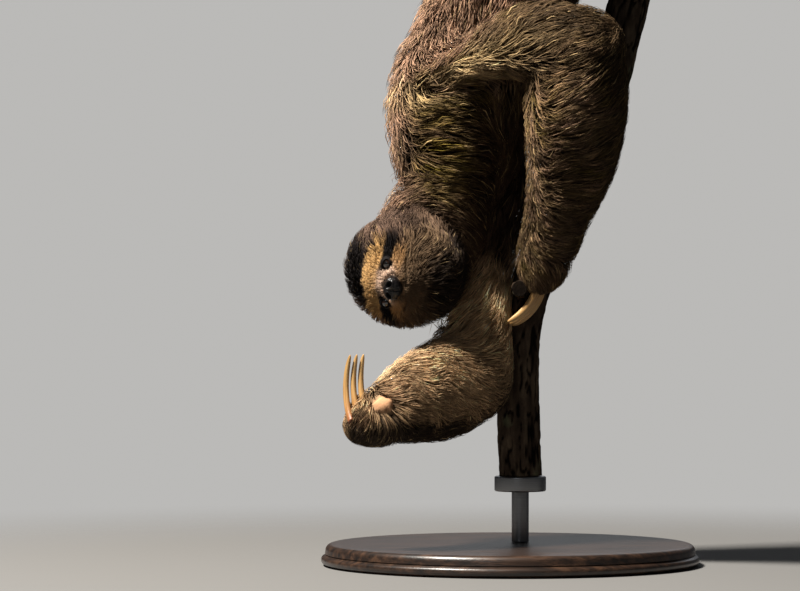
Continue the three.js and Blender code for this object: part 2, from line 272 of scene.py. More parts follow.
@dataclass(frozen=True)
class Length:
    """A length of the body: stations of centre, half size along the reference axis and across it."""

    region: Region
    group: str
    reference: Triple
    depth: tuple[float, float]
    lie: Triple
    stations: tuple[tuple[float, ...], ...]

    def rings(self, at: Array) -> dict[str, Array]:
        """The path at some places from 0 to 1.

        Args:
            at: How far along.

        Returns:
            Centres, unit axes and half sizes of the skin, with the coat's depth.
        """
        knots = np.array(self.stations, float)
        rows = catmull_rom(knots, at)
        step = catmull_rom(knots, at + 1e-3) - catmull_rom(knots, at - 1e-3)
        tangent = unit(np.where(np.abs(step[:, :3]).sum(1, keepdims=True) > 0, step[:, :3], 1))
        along = square_to(np.tile(self.reference, (len(at), 1)), tangent)
        depth = self.depth[0] + (self.depth[1] - self.depth[0]) * at
        return {
            "centre": rows[:, :3],
            "tangent": tangent,
            "along": along,
            "across": np.cross(tangent, along),
            "half_along": rows[:, 3] - depth,
            "half_across": rows[:, 4] - depth,
            "depth": depth,
        }

    def surface(self, count: int = 40, sides: int = 28, caps: int = 6) -> tuple[Array, Array]:
        """The closed skin of this length, with a round end at each side.

        A ring is an ellipse: its centre, plus the axis along times its half size times the cosine
        of the angle, plus the axis across times its own times the sine. At the ends the rings
        shrink as a cosine and move out as a sine.

        Args:
            count: Rings along it.
            sides: Corners of a ring.
            caps: Rings in a round end.

        Returns:
            Vertices and faces.
        """
        turn = np.linspace(0, math.pi / 2, caps + 1)[1:-1]
        at = np.concatenate([np.zeros(len(turn)), np.linspace(0, 1, count), np.ones(len(turn))])
        shrink = np.concatenate([np.cos(turn[::-1]), np.ones(count), np.cos(turn)])
        push = np.concatenate([-np.sin(turn[::-1]), np.zeros(count), np.sin(turn)])
        r = self.rings(at)
        reach = 0.5 * (r["half_along"] + r["half_across"])
        centre = r["centre"] + r["tangent"] * (push * reach)[:, None]
        angle = np.linspace(0, 2 * math.pi, sides, endpoint=False)
        a = r["along"] * (r["half_along"] * shrink)[:, None]
        b = r["across"] * (r["half_across"] * shrink)[:, None]
        ring = (
            centre[:, None]
            + a[:, None] * np.cos(angle)[None, :, None]
            + b[:, None] * np.sin(angle)[None, :, None]
        )
        return closed_tube(ring)


R = Region
LENGTHS = (
    Length(R.NECK, "torso", (-1, 0, 0), (13, 15), (0.6, 0.1, 0.3),
           ((-87, -9, 276, 44, 42), (-77, -5, 304, 49, 45), (-66, -2, 336, 48, 46),
            (-59, 0, 361, 42, 47))),
    Length(R.TRUNK, "torso", (-1, 0, 0), (15, 19), (-0.35, 0, -1),
           ((-59, 0, 361, 42, 47), (-52, 0, 381, 56, 54), (-50, 0, 404, 66, 60), (-46, 0, 438, 67, 66),
            (-29, 0, 478, 65, 72), (-3, 0, 538, 68, 77), (16, 0, 616, 72, 81), (24, 0, 694, 72, 83),
            (22, 0, 752, 60, 70))),
    Length(R.TAIL, "tail", (-1, 0, 0), (10, 9), (-0.3, 0, 0.9),
           ((-6, 0, 778, 28, 27), (-20, 0, 797, 23, 23), (-28, 0, 808, 18, 19))),
    Length(R.LEFT_ARM, "left arm", (0.1, 0.95, 0.3), (12, 16), (0.95, 0, 0.3),
           ((-68, -42, 447, 29, 14), (-36, -57, 464, 34, 18), (-8, -67, 475, 37, 27),
            (26, -77, 478, 42, 39), (57, -84, 468, 45, 46))),
    Length(R.LEFT_ARM, "left arm", (0.9, 0.1, 0.1), (16, 9), (0.75, 0, 0.6),
           ((57, -84, 468, 45, 46), (57, -79, 422, 48, 45), (54, -59, 372, 41, 40),
            (43, -39, 326, 31, 32), (32, -27, 288, 27, 26))),
    Length(R.LEFT_ARM, "left arm", (1, 0, 0), (9, 5), (0.1, 0, -1),
           ((32, -27, 288, 27, 26), (29, -25, 276, 23, 22), (27, -23, 266, 14, 18))),
    Length(R.RIGHT_ARM, "right arm", (0, 1, 0), (14, 14), (0.2, 0, 1),
           ((-22, 34, 392, 30, 38), (-18, 28, 330, 28, 38), (-29, 8, 262, 28, 31),
            (-41, -13, 174, 44, 43))),
    Length(R.RIGHT_ARM, "right arm", (0, 0, 1), (15, 9), (0.9, 0.4, -0.1),
           ((-41, -13, 174, 44, 43), (-64, -43, 164, 47, 40), (-85, -74, 158, 42, 35),
            (-106, -99, 149, 33, 30))),
    Length(R.RIGHT_ARM, "right arm", (0, 0, 1), (9, 5), (-0.7, -0.2, -0.7),
           ((-106, -99, 149, 33, 30), (-124, -110, 140, 26, 25), (-136, -113, 133, 15, 19))),
    Length(R.LEFT_LEG, "left leg", (0.2, 0.3, 0.93), (18, 13), (-0.5, 0, -0.85),
           ((26, -34, 718, 52, 48), (68, -64, 710, 46, 46), (110, -92, 706, 36, 36))),
    Length(R.LEFT_LEG, "left leg", (1, 0, 0), (13, 8), (0.1, -0.5, -0.85),
           ((110, -92, 706, 36, 36), (122, -80, 750, 31, 31), (127, -56, 794, 23, 23))),
    Length(R.LEFT_LEG, "left leg", (0, 0, 1), (8, 4), (0.5, 0.8, 0.2),
           ((127, -56, 794, 23, 23), (138, -33, 814, 17, 17), (150, -17, 823, 11, 13))),
    Length(R.RIGHT_LEG, "right leg", (0.2, 0.3, 0.93), (18, 13), (-0.5, 0, -0.85),
           ((26, 34, 718, 52, 48), (70, 74, 702, 46, 46), (110, 108, 684, 36, 36))),
    Length(R.RIGHT_LEG, "right leg", (1, 0, 0), (13, 8), (0.1, 0.5, -0.85),
           ((110, 108, 684, 36, 36), (124, 102, 718, 31, 31), (130, 82, 750, 23, 23))),
    Length(R.RIGHT_LEG, "right leg", (0, 0, 1), (8, 4), (0.5, -0.8, 0.1),
           ((130, 82, 750, 23, 23), (140, 60, 762, 17, 17), (149, 47, 767, 11, 13))),
)


# ---- Head -------------------------------------------------------------------------------------


@dataclass(frozen=True)
class Head:
    """The head's own frame and the skin's height over it."""

    centre: Triple = (-97, -36, 273)
    face: Triple = (-0.36, -0.9, -0.33)
    crown: Triple = (-1, 0, 0.03)
    side: float = 42.5
    up: float = 45.5
    back: float = 37.0
    front: float = 36.6
    flatness: float = 2.78
    eye: Triple = (18.5, 4.0, 36.5)
    eye_radius: float = 6.0
    nose: Triple = (0.0, -6.0, 49.5)
    nose_half: Triple = (11.0, 8.5, 7.5)
    ear: Triple = (43.0, 6.0, -2.0)
    ear_half: Triple = (6.0, 9.0, 6.0)
    mouth_drop: float = -14.6
    nape_coat: float = 9.5
    face_coat: float = 3.2
    chin_coat: float = 1.5

    def axes(self) -> Array:
        """The unit axes left, up and front as rows.

        Returns:
            The axes, 3 by 3.
        """
        front = unit(np.array(self.face, float))
        up = square_to(np.array(self.crown, float), front)
        return np.array([np.cross(up, front), up, front])

    def local(self, points: Array) -> Array:
        """Places of the frame as head places."""
        return (points - np.array(self.centre)) @ self.axes().T

    def world(self, places: Array) -> Array:
        """Head places as places of the frame."""
        return places @ self.axes() + np.array(self.centre)

    def front_height(self, left: Array, up: Array) -> Array:
        """How far the face stands out: a base with a hill for the muzzle, one for the brow, one for
        each cheek, and a hollow for each eye.

        Args:
            left: Head places along the first axis.
            up: Head places along the second.

        Returns:
            Heights along the third.
        """
        muzzle = 14.6 * hill(left, up + 9, 19, 15)
        brow = 3.6 * hill(left, up - 17, 34, 11)
        sockets = -3.4 * hill(np.abs(left) - 19.5, up - 3.5, 8.5, 6.5)
        cheeks = 1.6 * hill(np.abs(left) - 24, up + 12, 9, 10)
        return self.front + muzzle + brow + sockets + cheeks

    def level(self, places: Array) -> Array:
        """Zero on the skin: the square of left over side, plus that of up over its half size, plus
        front over height to the power of flatness, less one. The back half has a power of 2.

        Args:
            places: Head places.

        Returns:
            The level at each of them.
        """
        left, up, front = places.T
        flat = (left / self.side) ** 2 + (up / self.up) ** 2 - 1.0
        ahead = (np.maximum(front, 0) / self.front_height(left, up)) ** self.flatness
        behind = (np.minimum(front, 0) / self.back) ** 2
        return flat + ahead + behind

    def gap(self, places: Array) -> tuple[Array, Array]:
        """The distance from the skin and the way out of it, from the level and its slope.

        Args:
            places: Head places.

        Returns:
            Distances and unit slopes, in head places.
        """
        level = self.level(places)
        step = 0.4
        slope = np.empty_like(places)
        for axis in range(3):
            shift = np.zeros(3)
            shift[axis] = step
            slope[:, axis] = (self.level(places + shift) - self.level(places - shift)) / (2 * step)
        steep = np.maximum(np.linalg.norm(slope, axis=1), 0.6 / self.up)
        return level / steep, unit(slope)

    def surface(self) -> tuple[Array, Array]:
        """The head's closed skin, from a ball of rings pushed out to level zero.

        Returns:
            Vertices and faces.
        """
        rings, sides, start = 48, 64, 45.0
        polar = np.linspace(0, math.pi, rings + 2)[1:-1]
        angle = np.linspace(0, 2 * math.pi, sides, endpoint=False)
        p, a = np.meshgrid(polar, angle, indexing="ij")
        ball = np.stack([np.sin(p) * np.cos(a), np.sin(p) * np.sin(a), -np.cos(p)], -1)
        places = ball.reshape(-1, 3) * start
        for _ in range(8):
            distance, _ = self.gap(places)
            places -= unit(places) * distance[:, None]
        return closed_tube(self.world(places).reshape(rings, sides, 3))

    def ear_surface(self, side: float) -> tuple[Array, Array]:
        """A small flat ear as a stretched ball.

        Args:
            side: 1 for the left ear and -1 for the right one.

        Returns:
            Vertices and faces.
        """
        points, faces = ball(24, 16)
        places = points * np.array(self.ear_half) + np.array(self.ear) * np.array([side, 1, 1])
        return self.world(places), faces


def ball(sides: int, rings: int) -> tuple[Array, Array]:
    """A ball of radius one, (sin p cos a, sin p sin a, -cos p), its poles along the third axis.

    Args:
        sides: Corners of a ring.
        rings: Rings between the poles.

    Returns:
        Vertices and faces.
    """
    polar = np.linspace(0, math.pi, rings + 2)[1:-1]
    angle = np.linspace(0, 2 * math.pi, sides, endpoint=False)
    p, a = np.meshgrid(polar, angle, indexing="ij")
    grid = np.stack([np.sin(p) * np.cos(a), np.sin(p) * np.sin(a), -np.cos(p)], -1)
    points, faces = closed_tube(grid)
    points[-2:] = [[0, 0, -1], [0, 0, 1]]
    return points, faces


# ---- The body as a field ----------------------------------------------------------------------


@dataclass
class Touch:
    """What the body's field says at some points."""

    distance: Array
    normal: Array
    depth: Array
    length: Array
    along: Array
    around: Array


@dataclass
class Body:
    """The whole animal as one distance field: balls of three half sizes along each length, the
    nearest in a group, and the groups run together with a soft join."""

    head: Head = field(default_factory=Head)
    samples: int = 26
    soft: float = 16.0
    chunk: int = 16384

    def __post_init__(self) -> None:
        """Lays the balls along the lengths."""
        rows = []
        owner = []
        places = []
        for index, length in enumerate(LENGTHS):
            count = self.samples * (3 if length.region is Region.TRUNK else 1)
            at = np.linspace(0, 1, count)
            rows.append(length.rings(at))
            owner.append(np.full(count, index))
            places.append(at)
        self.rows = {key: np.concatenate([r[key] for r in rows]) for key in rows[0]}
        self.owner = np.concatenate(owner)
        self.place = np.concatenate(places)
        groups = np.array([LENGTHS[i].group for i in self.owner])
        self.groups = [np.flatnonzero(groups == g) for g in dict.fromkeys(groups)]

    def _limbs(self, points: Array) -> list[Touch]:
        """The field of each group of lengths by itself.

        For a ball with half sizes a, b and c and a point at (u, v, w) from its middle, q is the
        length of (u/a, v/b, w/c), and the distance is the point's own length times (1 - 1/q).

        Args:
            points: Places in millimetres.

        Returns:
            One field for each group.
        """
        r = self.rows
        a, b = r["half_along"], r["half_across"]
        c = 0.5 * (a + b)
        offset = {k: np.sum(r["centre"] * r[k], axis=1) for k in ("along", "across", "tangent")}
        found = []
        u = points @ r["along"].T - offset["along"]
        v = points @ r["across"].T - offset["across"]
        w = points @ r["tangent"].T - offset["tangent"]
        q = np.sqrt((u / a) ** 2 + (v / b) ** 2 + (w / c) ** 2) + 1e-6
        reach = np.sqrt(u * u + v * v + w * w)
        distance = reach * (1 - 1 / q)
        line = np.arange(len(points))
        for members in self.groups:
            best = members[np.argmin(distance[:, members], axis=1)]
            bu, bv, bw = u[line, best], v[line, best], w[line, best]
            normal = (
                r["along"][best] * (bu / a[best] ** 2)[:, None]
                + r["across"][best] * (bv / b[best] ** 2)[:, None]
                + r["tangent"][best] * (bw / c[best] ** 2)[:, None]
            )
            around = np.arctan2(bv / b[best], bu / a[best])
            found.append(
                Touch(distance[line, best], unit(normal), r["depth"][best], self.owner[best],
                      self.place[best], around)
            )
        return found

    def _head(self, points: Array) -> Touch:
        """The field of the head. Its coat is thin over the face and a little deeper on the chin.

        Args:
            points: Places in millimetres.

        Returns:
            The field at each of them.
        """
        places = self.head.local(points)
        distance, slope = self.head.gap(places)
        left, up, front = places.T
        reach = np.maximum(np.linalg.norm(places, axis=1), 1e-6)
        facing = ease(2, 26, front) * ease(34, 22, np.hypot(left, up * 0.9))
        chin = ease(-14, -30, up) * ease(0, 20, front)
        thin = self.head.face_coat - self.head.nape_coat
        depth = self.head.nape_coat + thin * facing + self.head.chin_coat * chin
        index = np.full(len(points), len(LENGTHS))
        along = np.arccos(np.clip(front / reach, -1, 1)) / math.pi
        return Touch(distance, slope @ self.head.axes(), depth, index, along, np.arctan2(left, up))

    def touch(self, points: Array) -> Touch:
        """The whole field: the smaller of two distances, less h squared times a quarter of the soft
        width, where h is how nearly the two are equal.

        Args:
            points: Places in millimetres.

        Returns:
            The field at each of them.
        """
        parts = [self._touch(points[i : i + self.chunk]) for i in range(0, len(points), self.chunk)]
        names = ("distance", "normal", "depth", "length", "along", "around")
        return Touch(*[np.concatenate([getattr(p, n) for p in parts]) for n in names])

    def _touch(self, points: Array) -> Touch:
        """The whole field for one chunk of points.

        Args:
            points: Places in millimetres.

        Returns:
            The field at each of them.
        """
        parts = self._limbs(points) + [self._head(points)]
        whole = parts[0]
        for other in parts[1:]:
            near = np.clip(1 - np.abs(whole.distance - other.distance) / self.soft, 0, 1)
            swap = other.distance < whole.distance
            share = np.where(swap, 1 - 0.5 * near, 0.5 * near)
            pick = {
                n: np.where(swap, getattr(other, n), getattr(whole, n))
                for n in ("length", "along", "around")
            }
            whole = Touch(
                np.minimum(whole.distance, other.distance) - near**2 * self.soft / 4,
                unit(whole.normal * (1 - share)[:, None] + other.normal * share[:, None]),
                whole.depth * (1 - share) + other.depth * share,
                pick["length"], pick["along"], pick["around"],
            )
        return whole

    def region_of(self, length: Array) -> Array:
        """The number of each point's region in the order of Region.

        Args:
            length: Numbers of lengths.

        Returns:
            Numbers of regions.
        """
        order = list(Region)
        table = [order.index(entry.region) for entry in LENGTHS] + [order.index(Region.HEAD)]
        return np.array(table)[length]


# ---- Finishes ---------------------------------------------------------------------------------


@dataclass
class Surface:
    """A node material in the making, with the shader and a few helpers."""

    name: str

    def __post_init__(self) -> None:
        """Starts a material with one shader."""
        self.material = bpy.data.materials.new(self.name)
        self.material.use_nodes = True
        self.nodes = self.material.node_tree.nodes
        self.links = self.material.node_tree.links
        self.shader = self.nodes["Principled BSDF"]

    def set(self, **values: float | tuple[float, ...]) -> None:
        """Sets the shader's own sockets; an underscore stands for a space."""
        for key, value in values.items():
            self.shader.inputs[key.replace("_", " ")].default_value = value

    def node(self, kind: str, **values: object) -> bpy.types.Node:
        """Adds a node; a value goes to the socket of its name, or else to the node itself.

        Args:
            kind: The node's type.
            **values: What to set.

        Returns:
            The node.
        """
        made = self.nodes.new(kind)
        for key, value in values.items():
            socket = key.replace("_", " ")
            if socket in made.inputs:
                made.inputs[socket].default_value = value
            else:
                setattr(made, key, value)
        return made

    def join(self, source: bpy.types.NodeSocket, target: bpy.types.NodeSocket) -> None:
        """Links two sockets."""
        self.links.new(source, target)

    def read(self, name: str) -> bpy.types.Node:
        """Reads a stored attribute.

        Args:
            name: The attribute's name.

        Returns:
            The node.
        """
        made = self.nodes.new("ShaderNodeAttribute")
        made.attribute_name = name
        return made

    def place(self, scale: Triple = (1, 1, 1)) -> bpy.types.NodeSocket:
        """Object coordinates with a scale for each axis.

        Args:
            scale: One factor for each axis.

        Returns:
            The vector.
        """
        where = self.nodes.new("ShaderNodeTexCoord")
        mapping = self.node("ShaderNodeMapping", Scale=scale)
        self.join(where.outputs["Object"], mapping.inputs["Vector"])
        return mapping.outputs["Vector"]

    def noise(
        self, vector: bpy.types.NodeSocket, scale: float, detail: float = 3.0
    ) -> bpy.types.NodeSocket:
        """A noise's value over some coordinates.

        Args:
            vector: The coordinates.
            scale: Waves in a metre.
            detail: How many finer layers.

        Returns:
            The value.
        """
        made = self.node("ShaderNodeTexNoise", Scale=scale, Detail=detail)
        self.join(vector, made.inputs["Vector"])
        return made.outputs["Fac"]

    def ramp(self, value: bpy.types.NodeSocket, *stops: tuple[float, Array]) -> bpy.types.NodeSocket:
        """A colour for each value, between stops of a value and a colour.

        Args:
            value: What it reads.
            *stops: Values, each with its colour.

        Returns:
            The colour.
        """
        made = self.nodes.new("ShaderNodeValToRGB")
        for index, (at, colour) in enumerate(stops):
            stop = made.color_ramp.elements[index] if index < 2 else made.color_ramp.elements.new(at)
            stop.position = at
            stop.color = (*colour, 1.0)
        self.join(value, made.inputs["Fac"])
        return made.outputs["Color"]

    def blend(
        self,
        kind: str,
        share: float | bpy.types.NodeSocket,
        first: bpy.types.NodeSocket | Array,
        second: bpy.types.NodeSocket | Array,
    ) -> bpy.types.NodeSocket:
        """Mixes two colours by a share, in one of the mix node's ways.

        Args:
            kind: The mix node's way.
            share: How much of the second.
            first: A colour or its source.
            second: A colour or its source.

        Returns:
            The mixed colour.
        """
        made = self.node("ShaderNodeMix", data_type="RGBA", blend_type=kind)
        sockets = (made.inputs[0], made.inputs[6], made.inputs[7])
        for socket, value in zip(sockets, (share, first, second)):
            if isinstance(value, bpy.types.NodeSocket):
                self.join(value, socket)
            elif isinstance(value, float):
                socket.default_value = value
            else:
                socket.default_value = (*value, 1.0)
        return made.outputs[2]

    def bump(self, height: bpy.types.NodeSocket, distance: float, strength: float = 1.0) -> None:
        """Raises the surface by a height, in metres for a height of one.

        Args:
            height: What it reads.
            distance: Metres for a height of one.
            strength: How much of it shows.
        """
        made = self.node("ShaderNodeBump", Strength=strength, Distance=distance)
        self.join(height, made.inputs["Height"])
        self.join(made.outputs["Normal"], self.shader.inputs["Normal"])

    def dress(self, piece: bpy.types.Object) -> None:
        """Gives a piece this material alone."""
        piece.data.materials.clear()
        piece.data.materials.append(self.material)


@dataclass(frozen=True)
class FurFinish:
    """Coarse dull hair: the stored tint with finer streaks along each lock."""

    roughness: float = 0.7
    shine: float = 0.12
    streaks: float = 9.0

    def surface(self) -> Surface:
        """The lock coordinates are across, along and a number of the lock's own.

        Returns:
            The finish.
        """
        made = Surface("sloth_fur")
        made.set(Roughness=self.roughness, Specular_IOR_Level=self.shine)
        tint = made.read("coat_tint")
        lock = made.read("lock")
        streak = made.noise(lock.outputs["Vector"], self.streaks, 2.0)
        shade = made.ramp(streak, (0.3, np.full(3, 0.62)), (0.7, np.full(3, 1.0)))
        colour = made.blend("MULTIPLY", 0.8, tint.outputs["Color"], shade)
        made.join(colour, made.shader.inputs["Base Color"])
        made.bump(streak, 0.0004, 0.5)
        return made


@dataclass(frozen=True)
class HideFinish:
    """The skin under the coat, with fine pores and creases."""

    roughness: float = 0.7

    def surface(self) -> Surface:
        """The stored tint, mottled at two sizes.

        Returns:
            The finish.
        """
        made = Surface("sloth_skin")
        made.set(Roughness=self.roughness, Specular_IOR_Level=0.1)
        tint = made.read("coat_tint")
        fine = made.noise(made.place(), 900.0, 4.0)
        shade = made.ramp(fine, (0.3, np.full(3, 0.75)), (0.7, np.full(3, 1.0)))
        colour = made.blend("MULTIPLY", 0.7, tint.outputs["Color"], shade)
        made.join(colour, made.shader.inputs["Base Color"])
        made.bump(fine, 0.0006, 0.5)
        return made


@dataclass(frozen=True)
class NoseFinish:
    """Black leathery skin, damp, with fine pebbles."""

    def surface(self) -> Surface:
        """Cells for the pebbles, over near black.

        Returns:
            The finish.
        """
        made = Surface("sloth_nose")
        made.set(Roughness=0.3, Specular_IOR_Level=0.45)
        cells = made.node("ShaderNodeTexVoronoi", Scale=1100.0)
        made.join(made.place(), cells.inputs["Vector"])
        colour = made.ramp(
            cells.outputs["Distance"], (0.0, linear(26, 22, 22)), (0.7, linear(10, 8, 9))
        )
        made.join(colour, made.shader.inputs["Base Color"])
        made.bump(cells.outputs["Distance"], 0.0003, 0.7)
        return made


@dataclass(frozen=True)
class EyeFinish:
    """A wet dark brown eye, with a pupil and a lighter ring about it."""

    def surface(self) -> Surface:
        """The stored number is how far a point lies from the eye's own axis.

        Returns:
            The finish.
        """
        made = Surface("sloth_eye")
        made.set(Roughness=0.08, Specular_IOR_Level=0.8, Coat_Weight=1.0, Coat_Roughness=0.03)
        ring = made.nodes.new("ShaderNodeSeparateXYZ")
        made.join(made.read("iris").outputs["Vector"], ring.inputs[0])
        colour = made.ramp(
            ring.outputs["X"], (0.0, linear(6, 5, 5)), (0.3, linear(8, 6, 5)),
            (0.42, linear(46, 26, 14)), (0.72, linear(32, 18, 11)), (0.9, linear(14, 9, 7)),
        )
        made.join(colour, made.shader.inputs["Base Color"])
        return made


@dataclass(frozen=True)
class ClawFinish:
    """Smooth horn with streaks along it, pinkish at the root and pale at the tip."""

    def surface(self) -> Surface:
        """The stored numbers are around, along and the claw's own number.

        Returns:
            The finish.
        """
        made = Surface("sloth_claw")
        made.set(Roughness=0.38, Specular_IOR_Level=0.5)
        where = made.read("claw")
        split = made.nodes.new("ShaderNodeSeparateXYZ")
        made.join(where.outputs["Vector"], split.inputs[0])
        base = made.ramp(
            split.outputs["Y"], (0.0, linear(150, 92, 62)), (0.14, linear(168, 118, 72)),
            (0.4, linear(196, 154, 98)), (0.84, linear(208, 170, 112)), (1.0, linear(194, 154, 98)),
        )
        stretch = made.node("ShaderNodeMapping", Scale=(5.0, 0.7, 9.0))
        made.join(where.outputs["Vector"], stretch.inputs["Vector"])
        streak = made.noise(stretch.outputs["Vector"], 4.0, 4.0)
        shade = made.ramp(streak, (0.32, linear(178, 160, 140)), (0.62, np.ones(3)))
        made.join(made.blend("MULTIPLY", 0.9, base, shade), made.shader.inputs["Base Color"])
        made.bump(streak, 0.0003, 0.5)
        return made


@dataclass(frozen=True)
class BarkFinish:
    """Grey-brown bark with lichen and painted shade in its furrows, and pale sawn ends with rings."""

    def surface(self) -> Surface:
        """The stored numbers are how raw the wood is, its ring number and the furrow's depth.

        Returns:
            The finish.
        """
        made = Surface("perch_bark")
        made.set(Roughness=0.95, Specular_IOR_Level=0.06)
        split = made.nodes.new("ShaderNodeSeparateXYZ")
        made.join(made.read("bark").outputs["Vector"], split.inputs[0])
        coarse = made.noise(made.place((1, 1, 0.35)), 90.0, 6.0)
        bark = made.ramp(
            coarse, (0.3, linear(38, 31, 26)), (0.5, linear(66, 54, 44)), (0.68, linear(98, 84, 68))
        )
        # painted shade: darker where the furrow height is low, darkest on the twig's ends
        deep = made.ramp(split.outputs["Z"], (0.2, linear(58, 50, 42)), (0.75, np.ones(3)))
        bark = made.blend("MULTIPLY", 0.95, bark, deep)
        spread = made.noise(made.place(), 26.0, 5.0)
        patch = made.ramp(spread, (0.58, np.zeros(3)), (0.7, np.full(3, 0.7)))
        ridge = made.ramp(split.outputs["Z"], (0.35, np.zeros(3)), (0.8, np.ones(3)))
        grown = made.blend("MULTIPLY", 1.0, patch, ridge)
        bark = made.blend("MIX", grown, bark, linear(104, 110, 84))
        rings = made.node("ShaderNodeMath", operation="SINE")
        made.join(split.outputs["Y"], rings.inputs[0])
        wood = made.ramp(rings.outputs[0], (0.0, linear(196, 164, 118)), (0.9, linear(158, 122, 80)))
        fine = made.noise(made.place(), 400.0, 4.0)
        colour = made.blend("MIX", split.outputs["X"], bark, wood)
        made.join(colour, made.shader.inputs["Base Color"])
        made.bump(fine, 0.0012, 0.6)
        return made


@dataclass(frozen=True)
class StainedWoodFinish:
    """Turned wood under a dark satin stain, its grain along X."""

    def surface(self) -> Surface:
        """Bands bent by noise, stretched along the grain.

        Returns:
            The finish.
        """
        made = Surface("stand_stained_wood")
        made.set(Roughness=0.36, Specular_IOR_Level=0.45, Coat_Weight=0.25, Coat_Roughness=0.2)
        grain = made.noise(made.place((1.2, 16.0, 16.0)), 12.0, 6.0)
        pores = made.noise(made.place((6.0, 160.0, 160.0)), 8.0, 2.0)
        colour = made.ramp(
            grain, (0.34, linear(24, 18, 15)), (0.52, linear(48, 34, 26)), (0.66, linear(70, 50, 37))
        )
        dark = made.ramp(pores, (0.36, linear(120, 110, 104)), (0.5, np.ones(3)))
        made.join(made.blend("MULTIPLY", 0.7, colour, dark), made.shader.inputs["Base Color"])
        made.bump(pores, 0.0003, 0.4)
        return made


@dataclass(frozen=True)
class SteelFinish:
    """Turned steel with fine lines round it."""

    def surface(self) -> Surface:
        """Noise pressed flat along Z, so that its lines run round the post.

        Returns:
            The finish.
        """
        made = Surface("stand_turned_steel")
        made.set(Metallic=1.0)
        lines = made.noise(made.place((2.0, 2.0, 900.0)), 3.0, 3.0)
        rough = made.node("ShaderNodeMapRange", To_Min=0.26, To_Max=0.42)
        made.join(lines, rough.inputs["Value"])
        made.join(rough.outputs["Result"], made.shader.inputs["Roughness"])
        colour = made.ramp(lines, (0.35, linear(128, 129, 132)), (0.65, linear(158, 159, 161)))
        made.join(colour, made.shader.inputs["Base Color"])
        made.bump(lines, 0.0001, 0.4)
        return made


# ---- Markings ---------------------------------------------------------------------------------


